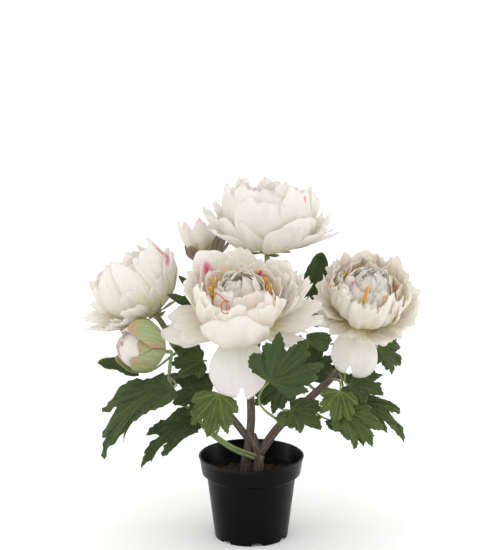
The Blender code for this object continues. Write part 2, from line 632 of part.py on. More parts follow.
def make_pot(collection):
    """A nursery pot: a tapered wall with a rim band, a raised floor with drain holes and a notched foot."""
    band_foot = POT_HEIGHT - POT_BAND_HEIGHT
    shoulder = band_foot - 4
    floor = POT_FLOOR_RAISE
    rim, band, body, foot = POT_RIM_RADIUS, POT_BAND_RADIUS, POT_BODY_RADIUS, POT_FOOT_RADIUS
    inside = (
        (0, POT_WALL), (POT_PAD_RADIUS, POT_WALL), (POT_PAD_RADIUS + 4, floor + POT_WALL),
        (foot - POT_WALL + 0.5, floor + POT_WALL), (body - POT_WALL, shoulder),
        (band - POT_WALL, band_foot + 1.2), (rim - POT_WALL - 1.0, POT_HEIGHT - 1),
    )
    outside = (
        (rim - 1.4, POT_HEIGHT), (rim - 0.4, POT_HEIGHT - 0.3), (rim, POT_HEIGHT - 1.2),
        (rim - 1.0, POT_HEIGHT - 3.4), (band, band_foot), (body, shoulder - 0.8), (foot, 0),
    )
    under = (
        (foot - POT_WALL, 0), (foot - POT_WALL + 0.3, floor), (POT_PAD_RADIUS + 5, floor),
        (POT_PAD_RADIUS, 0), (0, 0),
    )
    pot = turned("pot", inside + outside + under, POT_SIDES, collection, "pot")
    cutters = new_collection("cutters")
    for i in range(FOOT_NOTCHES):
        angle = math.radians(FIRST_NOTCH) + 2 * math.pi * i / FOOT_NOTCHES
        box = bmesh.new()
        bmesh.ops.create_cube(box, size=1)
        sides = Vector((8, FOOT_NOTCH_WIDTH, 2 * FOOT_NOTCH_HEIGHT)) * MM
        bmesh.ops.scale(box, verts=box.verts, vec=sides)
        for vertex in box.verts:
            if vertex.co.z > 0:
                vertex.co.y *= FOOT_NOTCH_TAPER
        mesh = bpy.data.meshes.new("notch")
        box.to_mesh(mesh)
        box.free()
        notch = new_cutter("notch", mesh, cutters)
        notch.matrix_world = Matrix.Rotation(angle, 4, "Z") @ Matrix.Translation((foot * MM, 0, 0))
    for i in range(DRAIN_HOLES):
        angle = 2 * math.pi * i / DRAIN_HOLES
        drill = bmesh.new()
        bmesh.ops.create_cone(drill, cap_ends=True, segments=10, radius1=DRAIN_HOLE_RADIUS * MM,
                              radius2=DRAIN_HOLE_RADIUS * MM, depth=10 * MM)
        mesh = bpy.data.meshes.new("drain")
        drill.to_mesh(mesh)
        drill.free()
        hole = new_cutter("drain", mesh, cutters)
        across = DRAIN_HOLE_RING * MM
        hole.location = (across * math.cos(angle), across * math.sin(angle), floor * MM)
    boolean(pot, "DIFFERENCE", cutters)


def main():
    clear_scene()
    peony = new_collection("potted_peony")
    make_pot(peony)
    make_soil(peony)
    make_stems(peony)
    for name, plan in BLOOMS.items():
        frame = flower_frame(plan)
        make_calyx(name, plan, frame, peony)
        make_petals(name, plan, frame, peony)
        make_stamens(name, plan, frame, peony)
    for name, plan in BUDS.items():
        make_bud(name, plan, peony)
    for name in LEAVES:
        make_leaf(name, peony)
    root = bpy.data.objects.new("potted_peony_origin", None)
    for piece in peony.objects:
        shade(piece)
        piece.parent = root
    peony.objects.link(root)


main()
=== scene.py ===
import json
import math
import random

import bmesh
import bpy
import numpy as np
from mathutils import Matrix, Vector, noise

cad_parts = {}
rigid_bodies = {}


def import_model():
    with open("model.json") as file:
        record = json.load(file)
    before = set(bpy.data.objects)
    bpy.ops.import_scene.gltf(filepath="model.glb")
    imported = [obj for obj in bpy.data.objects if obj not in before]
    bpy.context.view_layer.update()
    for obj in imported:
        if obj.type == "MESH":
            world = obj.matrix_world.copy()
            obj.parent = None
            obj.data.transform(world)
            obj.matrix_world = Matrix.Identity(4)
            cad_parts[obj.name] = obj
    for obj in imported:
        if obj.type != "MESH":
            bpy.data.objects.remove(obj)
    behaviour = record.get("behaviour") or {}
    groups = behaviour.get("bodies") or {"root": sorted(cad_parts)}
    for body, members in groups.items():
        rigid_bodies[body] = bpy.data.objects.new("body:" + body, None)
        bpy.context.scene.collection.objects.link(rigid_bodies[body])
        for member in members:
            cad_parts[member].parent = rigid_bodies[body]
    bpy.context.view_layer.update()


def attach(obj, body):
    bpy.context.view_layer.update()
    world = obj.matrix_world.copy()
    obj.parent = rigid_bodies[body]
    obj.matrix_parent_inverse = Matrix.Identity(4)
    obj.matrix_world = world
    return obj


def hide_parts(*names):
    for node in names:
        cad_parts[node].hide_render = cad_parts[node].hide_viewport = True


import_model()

# Potted peony: fine petals, leaves, stems, soil and pot in place of the solids.
# Every piece is worked out in millimetres in the frame's own axes: +Z up, -Y towards the viewer.
mm = 0.001
sharpEdge = math.radians(38)  # turned pieces keep edges that bend more than this


# Mesh helpers

def unit(vectors):
    return vectors / np.maximum(np.linalg.norm(vectors, axis=-1, keepdims=True), 1e-9)


def closedSheet(points, thickness):
    # a thin closed shell round a grid of points: both faces and the rim between them
    rows, columns = points.shape[0] - 1, points.shape[1] - 1
    normal = unit(np.cross(np.gradient(points, axis=1), np.gradient(points, axis=0)))
    corners = np.concatenate([points + normal * thickness / 2, points - normal * thickness / 2])
    index = np.arange((rows + 1) * (columns + 1)).reshape(rows + 1, columns + 1)
    front = np.stack([index[:-1, :-1], index[:-1, 1:], index[1:, 1:], index[1:, :-1]], -1).reshape(-1, 4)
    loop = np.concatenate([index[0, :-1], index[:-1, -1], index[-1, :0:-1], index[:0:-1, 0]])
    behind = np.roll(loop, -1)
    far = index.size
    rim = np.stack([behind, loop, loop + far, behind + far], -1)
    return corners.reshape(-1, 3), np.concatenate([front, front[:, ::-1] + far, rim])


def joinedMesh(name, parts):
    # parts: (points in mm, faces, {attribute: one value for each point})
    points, faces, start = [], [], 0
    for corners, quads, _ in parts:
        points.append(np.asarray(corners, float))
        faces += [tuple(int(i) + start for i in face) for face in quads]
        start += len(corners)
    mesh = bpy.data.meshes.new(name)
    mesh.from_pydata((np.concatenate(points) * mm).tolist(), [], faces)
    for key in parts[0][2]:
        values = np.concatenate([np.broadcast_to(part[2][key], len(part[0])) for part in parts])
        mesh.attributes.new(key, "FLOAT", "POINT").data.foreach_set("value", values.astype(np.float32))
    mesh.shade_smooth()
    return mesh


def newPiece(name, mesh, material, place=None):
    piece = bpy.data.objects.new(name, mesh)
    bpy.context.scene.collection.objects.link(piece)
    mesh.materials.append(material)
    if place is not None:
        mesh.transform(place)
    return piece


def standsFor(piece, node):
    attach(piece, "root")
    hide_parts(node)


def addPiece(name, parts, material, place, node):
    # parts as for joinedMesh; node: the solid that the piece stands for
    standsFor(newPiece(name, joinedMesh(name, parts), material, place), node)


def applyModifiers(piece):
    bpy.context.view_layer.update()
    mesh = bpy.data.meshes.new_from_object(piece.evaluated_get(bpy.context.evaluated_depsgraph_get()))
    piece.modifiers.clear()
    piece.data = mesh


def latheMesh(name, profile, steps):
    # profile: (radius, height) in mm, down the outer side
    mesh = bpy.data.meshes.new(name)
    edges = [(i, i + 1) for i in range(len(profile) - 1)]
    mesh.from_pydata([(r * mm, 0, z * mm) for r, z in profile], edges, [])
    piece = bpy.data.objects.new(name, mesh)
    bpy.context.scene.collection.objects.link(piece)
    screw = piece.modifiers.new("turn", "SCREW")
    screw.steps = screw.render_steps = steps
    screw.use_merge_vertices = True
    screw.merge_threshold = 1e-5
    applyModifiers(piece)
    turned = piece.data
    bpy.data.objects.remove(piece)
    turned.shade_smooth()
    turned.set_sharp_from_angle(angle=sharpEdge)
    return turned


def lathePart(profile, steps, attributes):
    # the same turned form as points and faces, for joinedMesh
    mesh = latheMesh("turned", profile, steps)
    points = [vertex.co / mm for vertex in mesh.vertices]
    return points, [tuple(face.vertices) for face in mesh.polygons], attributes


def smoothPath(points, steps):
    # Catmull-Rom through the points
    points = [Vector(p) for p in points]
    ends = [2 * points[0] - points[1], *points, 2 * points[-1] - points[-2]]
    path = [points[0]]
    for a, b, c, d in zip(ends, ends[1:], ends[2:], ends[3:]):
        for i in range(1, steps + 1):
            u = i / steps
            bend = (2 * a - 5 * b + 4 * c - d) * u**2 + (3 * b - a - 3 * c + d) * u**3
            path.append(0.5 * (2 * b + (c - a) * u + bend))
    return path


def pathLength(path):
    return sum((b - a).length for a, b in zip(path, path[1:]))


def tubePart(path, radius, sides, attributes):
    # radius(share, angle) in mm; the rings keep one side up without twisting, and both ends are closed
    rings, around, share = [], [], []
    along = [(b - a).normalized() for a, b in zip(path, path[1:])]
    along.append(along[-1])
    side = along[0].orthogonal().normalized()
    for i, centre in enumerate(path):
        forward = along[i]
        side = (side - side.dot(forward) * forward).normalized()
        other = forward.cross(side)
        s = i / (len(path) - 1)
        for j in range(sides):
            angle = 2 * math.pi * j / sides
            rings.append(centre + radius(s, angle) * (math.cos(angle) * side + math.sin(angle) * other))
            around.append(angle)
            share.append(s)
    faces = []
    for i in range(len(path) - 1):
        for j in range(sides):
            k = (j + 1) % sides
            faces.append((i * sides + j, i * sides + k, (i + 1) * sides + k, (i + 1) * sides + j))
    faces += [tuple(range(sides - 1, -1, -1)), tuple(range(len(rings) - sides, len(rings)))]
    values = {**attributes, "stemShare": np.array(share), "roundX": np.cos(around), "roundY": np.sin(around)}
    return rings, faces, values


# Material helpers

def newMaterial(name, roughness, specular=0.5):
    material = bpy.data.materials.new(name)
    material.use_nodes = True
    shader = material.node_tree.nodes["Principled BSDF"]
    shader.inputs["Roughness"].default_value = roughness
    shader.inputs["Specular IOR Level"].default_value = specular
    return material, material.node_tree, shader


def addNode(tree, kind, inputs, output=0, **settings):
    node = tree.nodes.new("ShaderNode" + kind)
    for key, value in settings.items():
        setattr(node, key, value)
    for key, value in inputs.items():
        if isinstance(value, bpy.types.NodeSocket):
            tree.links.new(value, node.inputs[key])
        else:
            node.inputs[key].default_value = value
    return node.outputs[output]


def maths(tree, operation, a, b=0.0):
    return addNode(tree, "Math", {0: a, 1: b}, operation=operation)


def times(tree, a, b):
    return maths(tree, "MULTIPLY", a, b)


def plus(tree, a, b):
    return maths(tree, "ADD", a, b)


def minus(tree, a, b):
    return maths(tree, "SUBTRACT", a, b)


def readValues(tree, *names):
    # values that joinedMesh stored at the points
    return [addNode(tree, "Attribute", {}, "Fac", attribute_name=name) for name in names]


def ownPlace(tree):
    return addNode(tree, "TexCoord", {}, "Object")


def fade(tree, value, low, high, least=0.0, most=1.0):
    # smooth step from least at low to most at high
    inputs = {"Value": value, "From Min": low, "From Max": high, "To Min": least, "To Max": most}
    return addNode(tree, "MapRange", inputs, interpolation_type="SMOOTHSTEP")


def vector(tree, x, y, z):
    return addNode(tree, "CombineXYZ", {0: x, 1: y, 2: z})


def cloudy(tree, where, scale, detail=3.0, roughness=0.55):
    inputs = {"Vector": where, "Scale": scale, "Detail": detail, "Roughness": roughness}
    return addNode(tree, "TexNoise", inputs)


def tint(tree, share, under, over, blend="MIX"):
    under, over = ((*c, 1) if isinstance(c, tuple) else c for c in (under, over))
    return addNode(tree, "Mix", {0: share, 6: under, 7: over}, 2, data_type="RGBA", blend_type=blend)


def paint(tree, shader, colour, roughness=None):
    tree.links.new(colour, shader.inputs["Base Color"])
    if roughness is not None:
        tree.links.new(roughness, shader.inputs["Roughness"])


def relief(tree, shader, height, strength, distance):
    bump = addNode(tree, "Bump", {"Height": height, "Strength": strength, "Distance": distance})
    tree.links.new(bump, shader.inputs["Normal"])


# Camera, light and floor

studio = {
    "cameraPlace": (-0.0015, -2.2, 0.819),
    "cameraTilt": 76.87,  # degrees from straight down
    "lens": 132.5,
    "sensorHeight": 36,
    "seesTo": 50,
    "world": (1.0, 1.0, 1.0),
    "worldStrength": 1.14,
    "bounces": 24,  # light passes on between petals many times
    "middle": (0, 0, 0.25),  # where the soft lights look
    "floorColour": (0.97, 0.97, 0.97),
    "floorRadius": 12,
    # strength, and turn and spread in degrees, of the wide lights far off
    "wideLights": {"key": (0.11, (40, 0, -34), 50), "front": (0.28, (66, 0, 6), 40)},
    # place, size and power of each soft light
    "softLights": {
        "left softbox": ((-1.7, 0.1, 0.4), (0.14, 1.0), 4),
        "right softbox": ((1.7, 0.1, 0.4), (0.10, 1.0), 4.5),
    },
}


def makeCamera():
    camera = bpy.data.cameras.new("camera")
    camera.lens = studio["lens"]
    camera.sensor_fit = "VERTICAL"
    camera.sensor_height = studio["sensorHeight"]
    camera.clip_end = studio["seesTo"]
    seer = bpy.data.objects.new("camera", camera)
    seer.location = studio["cameraPlace"]
    seer.rotation_euler = (math.radians(studio["cameraTilt"]), 0, 0)
    bpy.context.scene.collection.objects.link(seer)
    bpy.context.scene.camera = seer


def addLamp(name, kind, power, turn):
    light = bpy.data.lights.new(name, kind)
    light.energy = power
    lamp = bpy.data.objects.new(name, light)
    lamp.rotation_euler = turn
    bpy.context.scene.collection.objects.link(lamp)
    return lamp, light


def makeLights():
    world = bpy.data.worlds.new("studio")
    world.use_nodes = True
    background = world.node_tree.nodes["Background"]
    background.inputs["Color"].default_value = (*studio["world"], 1)
    background.inputs["Strength"].default_value = studio["worldStrength"]
    bpy.context.scene.world = world
    for name, (place, size, power) in studio["softLights"].items():
        ahead = Vector(studio["middle"]) - Vector(place)
        lamp, light = addLamp(name, "AREA", power, ahead.to_track_quat("-Z", "Y").to_euler())
        lamp.location = place
        light.shape = "RECTANGLE"
        light.size, light.size_y = size
    for name, (strength, turn, spread) in studio["wideLights"].items():
        lamp, light = addLamp(name, "SUN", strength, [math.radians(angle) for angle in turn])
        light.angle = math.radians(spread)


def makeFloor():
    material, tree, shader = newMaterial("pale floor", 0.9, 0.1)
    colour = studio["floorColour"]
    darker = tuple(0.99 * c for c in colour)
    paint(tree, shader, tint(tree, cloudy(tree, ownPlace(tree), 6.0), darker, colour))
    disc = bmesh.new()
    bmesh.ops.create_circle(disc, cap_ends=True, segments=64, radius=studio["floorRadius"])
    mesh = bpy.data.meshes.new("floor")
    disc.to_mesh(mesh)
    disc.free()
    newPiece("floor", mesh, material)


scene = bpy.context.scene
scene.view_settings.view_transform = "Standard"
cycles = scene.cycles
cycles.max_bounces = cycles.diffuse_bounces = cycles.transmission_bounces = studio["bounces"]
makeCamera()
makeLights()
makeFloor()
print("studio ready")


# Petals

petalSheet = {
    "large": (18, 34), "small": (14, 26),  # rows and columns of the grid
    "thickness": 0.35,
    "pivot": 8,  # height over the base about which the inner petals of a bloom tilt
    "letsThrough": 0.52,  # share of the light that falls on a petal
    "colours": {
        "ivory petal": (0.96, 0.957, 0.94),
        "peach petal": (0.96, 0.945, 0.915),
        "shade": (0.93, 0.935, 0.92),
        "line": (0.87, 0.88, 0.79),
        "base": (0.80, 0.81, 0.42),
        "gold": (0.93, 0.68, 0.24),
        # peach low on the inner petals: partly their own colour, partly painted glow of light through the
        # layered petals
        "glow": (0.95, 0.84, 0.68),
        "blush": (0.93, 0.77, 0.79),
        "fleckCore": (0.55, 0.02, 0.14),
        "fleckRim": (0.88, 0.22, 0.42),
        "through": (1.0, 0.98, 0.945),  # what light takes on that has come through a petal
    },
}


def makePetalMaterial(name):
    material, tree, shader = newMaterial(name, 0.62, 0.25)
    shader.inputs["Sheen Weight"].default_value = 0.1
    along, across, seed, warm = readValues(tree, "along", "across", "seed", "warm")
    yellowShare, blushShare = readValues(tree, "yellow", "blush")
    colours = petalSheet["colours"]
    # streaks that fan out from the foot of the petal, wide and fine
    wide = cloudy(tree, vector(tree, times(tree, across, 5.0), times(tree, along, 1.4), seed), 1.0, 2.0)
    fine = cloudy(tree, vector(tree, times(tree, across, 26.0), times(tree, along, 2.2), seed), 1.0)
    colour = tint(tree, fade(tree, wide, 0.35, 0.75, 0.0, 0.6), colours[name], colours["shade"])
    colour = tint(tree, fade(tree, fine, 0.5, 0.78, 0.0, 0.26), colour, colours["line"])
    shifted = plus(tree, along, fade(tree, wide, 0.2, 0.8, -0.12, 0.12))
    # peach low on the petals, set by warm: partly their own tone, partly painted glow of light passing
    # through the layered petals
    glow = times(tree, fade(tree, shifted, 1.1, 0.3), warm)
    colour = tint(tree, glow, colour, colours["glow"])
    low = tint(tree, warm, colours["base"], colours["gold"])
    yellow = times(tree, fade(tree, shifted, 0.6, 0.1), yellowShare)
    colour = tint(tree, yellow, colour, low)
    blush = times(tree, fade(tree, shifted, 0.62, 1.0), blushShare)
    colour = tint(tree, blush, colour, colours["blush"])
    # one painted fleck for each petal that has one, with a soft rim and a darker core
    spotAlong, spotAcross, spotSize = readValues(tree, "fleckAlong", "fleckAcross", "fleckSize")
    size = maths(tree, "MAXIMUM", spotSize, 0.001)
    up = maths(tree, "DIVIDE", minus(tree, along, spotAlong), times(tree, size, 0.6))
    side = maths(tree, "DIVIDE", minus(tree, across, spotAcross), size)
    apart = plus(tree, maths(tree, "POWER", up, 2.0), maths(tree, "POWER", side, 2.0))
    rough = plus(tree, maths(tree, "SQRT", apart), fade(tree, fine, 0.2, 0.8, -0.2, 0.2))
    present = fade(tree, size, 0.01, 0.02)
    rim = times(tree, fade(tree, rough, 1.15, 0.35), present)
    colour = tint(tree, times(tree, rim, 0.8), colour, colours["fleckRim"])
    core = plus(tree, rough, times(tree, up, -0.55))
    core = times(tree, fade(tree, core, 0.25, -0.2), present)
    colour = tint(tree, core, colour, colours["fleckCore"])
    paint(tree, shader, colour)
    relief(tree, shader, plus(tree, fine, times(tree, wide, 1.5)), 0.7, 0.0016)
    # light that comes through the petal
    through = tint(tree, 1.0, colour, colours["through"], "MULTIPLY")
    shine = addNode(tree, "BsdfTranslucent", {"Color": through})
    both = addNode(tree, "MixShader", {0: petalSheet["letsThrough"], 1: shader.outputs[0], 2: shine})
    tree.links.new(both, tree.nodes["Material Output"].inputs["Surface"])
    return material


def petalGrid(petal):
    rows, columns = petalSheet[petal["sheet"]]
    s, t = np.meshgrid(np.linspace(0, 1, rows + 1), np.linspace(-1, 1, columns + 1), indexing="ij")
    draw = random.Random(petal["seed"])
    phases = [draw.uniform(0, 6.3) for _ in range(11)]
    # the edge: rounded corners, broad lobes, a notch, small nicks and, on a ragged petal, points
    lobes = petal["lobes"] * (1 + np.sin(3.3 * t + phases[0]) + 0.6 * np.sin(7.1 * t + phases[1]))
    nicks = (1 - np.abs(np.sin(7.7 * t + phases[2]))) ** 2
    nicks += 0.6 * (1 - np.abs(np.sin(14.5 * t + phases[8]))) ** 2
    points = np.abs(np.sin(petal["teeth"] * t + phases[9])) * (0.6 + 0.4 * np.sin(5.3 * t + phases[7]))
    notch = petal["notch"] * np.exp(-((t - 0.2 * math.sin(phases[7])) / 0.12) ** 2)
    corner = petal["corner"] * np.abs(t) ** petal["square"]
    here = s * (1 - corner - notch - petal["nicks"] * nicks - petal["fringe"] * points - lobes * s)
    # the run of the petal from foot to tip, seen from the side
    steps = 60
    shares = np.linspace(0, 1, steps + 1)
    lean = np.radians(petal["end"] + (petal["start"] - petal["end"]) * (1 - shares) ** petal["early"])
    lean += math.radians(petal["curl"]) * np.clip((shares - 0.68) / 0.32, 0, 1) ** 2
    middle = (lean[1:] + lean[:-1]) / 2
    step = petal["length"] / steps
    radius = petal["root"][0] + np.concatenate([[0], np.cumsum(np.sin(middle))]) * step
    height = petal["root"][1] + np.concatenate([[0], np.cumsum(np.cos(middle))]) * step
    r, z, tilt = (np.interp(here, shares, line) for line in (radius, height, lean))
    # what bends the sheet out of that run
    widest = np.sin(np.clip(here / 0.72, 0.012, 1) * math.pi / 2)
    half = petal["half"] * widest * (1 - 0.08 * np.clip(here - 0.72, 0, 1) / 0.28)
    wave = petal["wave"] * here**2 * np.sin(4.2 * t + petal["phase"])
    ruffle = np.sin(6.9 * t + phases[3] + 2.2 * here) + 0.45 * np.sin(12.6 * t + phases[4] - 3.1 * here)
    ruffle *= petal["ruffle"] * here**2.5 * (0.5 + 0.5 * t * t)
    pleats = petal["pleats"] * np.clip(here * 2, 0, 1) * np.sin(17 * t + phases[10] + 1.5 * np.sin(5 * here))
    fold = petal["fold"] * here * np.exp(-((t - 0.1 * math.sin(phases[6])) / 0.16) ** 2)
    dent = petal["dent"] * np.sin(3.4 * here + phases[5]) * np.sin(2.6 * t + phases[6]) * here
    crumple = np.sin(5.2 * t + 6.1 * here + phases[1]) + 0.7 * np.sin(8.3 * t - 9.4 * here + phases[2])
    crumple += 0.45 * np.sin(13.7 * t + 15.1 * here + phases[8])
    crumple *= petal["crumple"] * np.clip(here * 2 - 0.2, 0, 1)
    inward = petal["cup"] * here * t * t + wave + ruffle + fold + dent + pleats + crumple
    inward += petal["shingle"] * t * np.clip(here / 0.2, 0, 1)
    # round the bloom, turned to its side and tilted
    bend = np.maximum(r, petal["flat"])
    angle = t * np.minimum(half / bend, petal["wrap"])
    across = bend * np.sin(angle) + petal["skew"] * here**2
    out = r - bend * (1 - np.cos(angle)) - np.cos(tilt) * inward
    up = z + np.sin(tilt) * inward
    turn = math.radians(petal["azimuth"])
    x = math.cos(turn) * out - math.sin(turn) * across
    y = math.sin(turn) * out + math.cos(turn) * across
    back, pivot = math.radians(petal["tilt"]), petalSheet["pivot"]
    y, up = (math.cos(back) * y + math.sin(back) * (up - pivot),
             pivot + math.cos(back) * (up - pivot) - math.sin(back) * y)
    return np.stack([x, y, up], -1), here, t


def petalPart(petal):
    points, here, t = petalGrid(petal)
    values = {"along": np.tile(here.ravel(), 2), "across": np.tile(t.ravel(), 2), "seed": petal["seed"] % 97}
    values.update({key: petal[key] for key in ("warm", "blush", "yellow")})
    values.update(zip(("fleckAlong", "fleckAcross", "fleckSize"), petal["fleck"]))
    return *closedSheet(points, petalSheet["thickness"]), values


# a petal without edge forms; newPetal sets what differs
plainPetal = dict(
    shingle=2.0, cup=2.0, wave=0.0, phase=0.0, notch=0.0, nicks=0.0, fringe=0.0, lobes=0.0, corner=0.26,
    square=2.6, curl=0.0, ruffle=0.0, pleats=0.0, fold=0.0, dent=0.0, skew=0.0, wrap=1.05, flat=6.0, tilt=0.0,
    warm=0.0, blush=0.0, yellow=0.75, early=1.0, teeth=8.9, crumple=0.0, sheet="large", fleck=(0.0, 0.0, 0.0))


def newPetal(shape, azimuth, root, seed, **more):
    # shape: length, half width, and lean at the foot and at the tip in degrees
    length, half, start, end = shape
    return {**plainPetal, "length": length, "half": half, "start": start, "end": end, "azimuth": azimuth,
            "root": root, "seed": seed, **more}


# how much of each edge form a kind of petal has, with the range of its last curl in degrees
edgeForms = ("ruffle", "nicks", "fringe", "lobes", "curl", "warm", "pleats", "yellow", "teeth", "crumple")
petalKinds = {
    "hanging": (1.0, 0.0, 0.0, 0.02, (-14, -4), 0.0, 0.3, 0.1, 8.9, 0.7),
    "guard": (3.0, 0.02, 0.02, 0.07, (-16, 18), 0.3, 0.4, 0.7, 8.9, 0.7),
    "ragged": (2.8, 0.03, 0.07, 0.05, (-8, 24), 0.7, 0.6, 0.9, 12.5, 0.7),
    "spiky": (2.2, 0.0, 0.24, 0.03, (-20, 10), 0.2, 0.6, 0.9, 5.2, 0.7),
    "wall": (3.2, 0.03, 0.015, 0.055, (-6, 24), 0.7, 0.5, 0.9, 8.9, 0.7),
    "smooth": (2.6, 0.01, 0.01, 0.045, (0, 14), 0.2, 0.5, 0.7, 8.9, 1.3),
    "fold": (2.0, 0.02, 0.02, 0.05, (0, 14), 0.4, 0.3, 0.8, 8.9, 0.5),
}
# the whorls over the ball, the same in every bloom
dome = (("ball", 4, 45, 0.98, 1.0, -4, 2, (3.6, 16.6), "fold"),
        ("ball", 4, 20, 0.97, 0.95, -12, 8, (2.4, 16), "fold"),
        ("ball", 5, 70, 1.18, 0.85, -24, -19, (3.6, 16.6), "fold"))
# The driving values of a bloom, with notes in the first one. A petal's shape is its length, half width, and
# lean at its foot and tip in degrees. base, faces, guards, cup, inner, ball, heart and turns are those of the
# solids.
blooms = {
    "front": dict(
        base=(-12, -42, 264), faces=(0.0, -0.70, 0.714),  # where it sits, and which way it looks
        seed=3, ruffle=1.0, warm=0.8, wall="wall", material="ivory petal", slot="petal",
        tilt=12, closing=1.0,  # of the inner petals; how far those at the front lean over the ball
        swell=1.16,  # how full the ball is
        globe=(1.04, 8, -6, 1.1),  # outer petals: length as a share, gain of leans, how early they turn
        spiky=(2, 3, 4), sepals=(0, 60, 120, 185),  # guards with points; azimuths of the calyx
        # azimuth and shape of each guard
        guards=((188, 82, 27, 92, 82), (268, 84, 33, 96, 140), (4, 89, 18, 90, 80), (28, 77, 18, 84, 58),
                (342, 70, 19, 95, 90), (84, 62, 30, 80, 22)),
        cup=(76, 34, 80, 14), inner=(64, 29, 75, 2), ball=(49, 21, 72, -50), heart=(34, 13, 44, -36),
        turns=(170, 20, 70, 0),  # the azimuths where these four start
        # more whorls: the one it follows, count, turn, length and half width as shares, gain of its leans,
        # its feet and its kind
        fillers=(("cup", 4, 34, 0.95, 0.85, -4, -2, (8.6, 9.4), "wall"),
                 ("inner", 4, 65, 0.92, 0.85, -4, -4, (8.2, 11.6), "wall"), *dome),
        # more petals: azimuth, shape and kind
        own=((5, 82, 20, 80, 12, "spiky"), (12, 92, 20, 82, 24, "spiky"), (354, 90, 22, 90, 62, "spiky"),
             (200, 70, 24, 90, 76, "guard"), (264, 104, 40, 108, -48, "smooth"),
             (134, 82, 34, 82, 16, "smooth"), (26, 82, 27, 80, 24, "smooth")),
        flecks={24: (0.79, 0.24, 0.27), 27: (0.74, 0.1, 0.3)}),  # petal: place along and across it, and size
    "top": dict(
        base=(18, 35, 322), faces=(0.02, 0.03, 1.0), seed=11, ruffle=1.0, warm=0.2,
        tilt=0, closing=0.15, swell=1.0, globe=(1.13, 22, -12, 1.7), spiky=(), wall="wall",
        sepals=(20, 110, 200, 290), turns=(180, 250, 40, 0), material="ivory petal", slot="petal",
        guards=((172, 84, 26, 80, 24), (206, 74, 27, 85, 48), (6, 79, 28, 86, 56), (40, 88, 27, 76, 12),
                (296, 66, 30, 81, 26), (108, 76, 28, 82, 28)),
        cup=(88, 36, 76, -2), inner=(76, 30, 75, -6), ball=(58, 24, 68, -52), heart=(42, 14, 40, -36),
        fillers=(("cup", 5, 34, 0.97, 0.80, -3, -3, (8.6, 9.4), "wall"),
                 ("inner", 5, 65, 0.94, 0.80, -4, -4, (8.2, 11.6), "wall"), *dome),
        own=((354, 78, 22, 84, 30, "ragged"), (22, 80, 22, 80, 24, "ragged"),
             (338, 72, 22, 86, 40, "ragged"), (188, 82, 22, 82, 28, "ragged"),
             (160, 80, 24, 78, 20, "ragged"), (222, 74, 38, 104, -6, "smooth"),
             (306, 78, 40, 104, -10, "smooth"), (266, 96, 36, 92, -34, "smooth"),
             (140, 74, 24, 80, 30, "ragged"), (70, 76, 26, 80, 30, "ragged")),
        flecks={29: (0.9, 0.09, 0.06), 8: (0.82, 0.03, 0.08)}),
    "left": dict(
        base=(-106, 0, 259), faces=(-0.54, 0.0, 0.84), seed=23, ruffle=0.9, warm=0.3,
        tilt=0, closing=0.25, swell=1.0, globe=(1.12, 20, -8, 1.5), spiky=(0, 1), wall="wall",
        sepals=(20, 110, 200, 290), turns=(185, 215, 40, 0), material="ivory petal", slot="petal",
        guards=((182, 82, 27, 80, 30), (214, 74, 26, 84, 50), (272, 66, 30, 78, 4), (330, 62, 27, 80, 10),
                (92, 66, 30, 80, 16)),
        cup=(82, 32, 76, -14), inner=(68, 29, 76, -16), ball=(50, 21, 68, -50), heart=(34, 13, 40, -34),
        fillers=(("cup", 5, 34, 0.97, 0.85, -3, 2, (8.6, 9.4), "wall"),
                 ("inner", 5, 65, 0.94, 0.80, -4, 2, (8.2, 11.6), "wall"), *dome),
        own=((196, 76, 22, 84, 46, "ragged"), (228, 74, 22, 86, 50, "ragged"),
             (244, 70, 24, 84, 36, "ragged"), (160, 74, 22, 80, 30, "ragged"),
             (300, 60, 26, 82, 14, "guard"), (50, 66, 26, 80, 20, "ragged"), (130, 70, 24, 80, 26, "ragged"),
             (352, 74, 32, 66, 16, "smooth"), (28, 70, 30, 68, 20, "smooth")),
        flecks={22: (0.74, 0.0, 0.16), 7: (0.77, 0.6, 0.2), -2: (0.88, -0.45, 0.2), -1: (0.85, -0.3, 0.2)}),
    "right": dict(
        base=(124, 12, 256), faces=(0.14, -0.60, 0.785), seed=37, ruffle=1.4, warm=0.36,
        tilt=4, closing=0.5, swell=1.25, globe=(1.14, 16, -24, 1.3), spiky=(), wall="ragged",
        sepals=(20, 90, 160, 205), turns=(60, 100, 20, 0), material="peach petal", slot="peach_petal",
        guards=((262, 68, 27, 97, 148), (176, 64, 25, 85, 34), (214, 60, 22, 90, 52), (8, 64, 27, 84, 34),
                (326, 62, 27, 86, 48), (88, 68, 30, 78, 14)),
        cup=(67, 30, 78, 8), inner=(60, 27, 75, -2), ball=(46, 20, 70, -50), heart=(32, 12, 42, -34),
        fillers=(("cup", 6, 34, 0.97, 0.70, -3, 2, (8.6, 9.4), "ragged"),
                 ("inner", 6, 65, 0.92, 0.65, -4, 2, (8.2, 11.6), "ragged"),
                 ("inner", 7, 20, 0.90, 0.75, -18, -10, (7.6, 12.6), "wall"), *dome),
        own=((352, 62, 20, 84, 40, "ragged"), (22, 64, 20, 80, 30, "ragged"),
             (306, 60, 22, 88, 54, "ragged"), (286, 56, 24, 90, 60, "ragged"),
             (236, 58, 22, 90, 56, "ragged"), (196, 60, 20, 86, 46, "ragged"),
             (154, 64, 22, 80, 28, "ragged"), (122, 66, 22, 78, 20, "ragged"),
             (54, 66, 22, 78, 20, "ragged")),
        flecks={35: (0.84, 0.2, 0.3)}),
}
# the whorls of the solids: name, count, radius and height of the feet, kind
whorls = (("cup", 5, (9, 8.2), "wall"), ("inner", 4, (8, 10.2), "wall"), ("ball", 4, (4, 17), "fold"),
          ("heart", 2, (1.5, 20.5), "fold"))


def flowerPlace(plan):
    axis = Vector(plan["faces"]).normalized()
    tilt = Vector((0, 0, 1)).rotation_difference(axis).to_matrix().to_4x4()
    return Matrix.Translation(Vector(plan["base"]) * mm) @ tilt


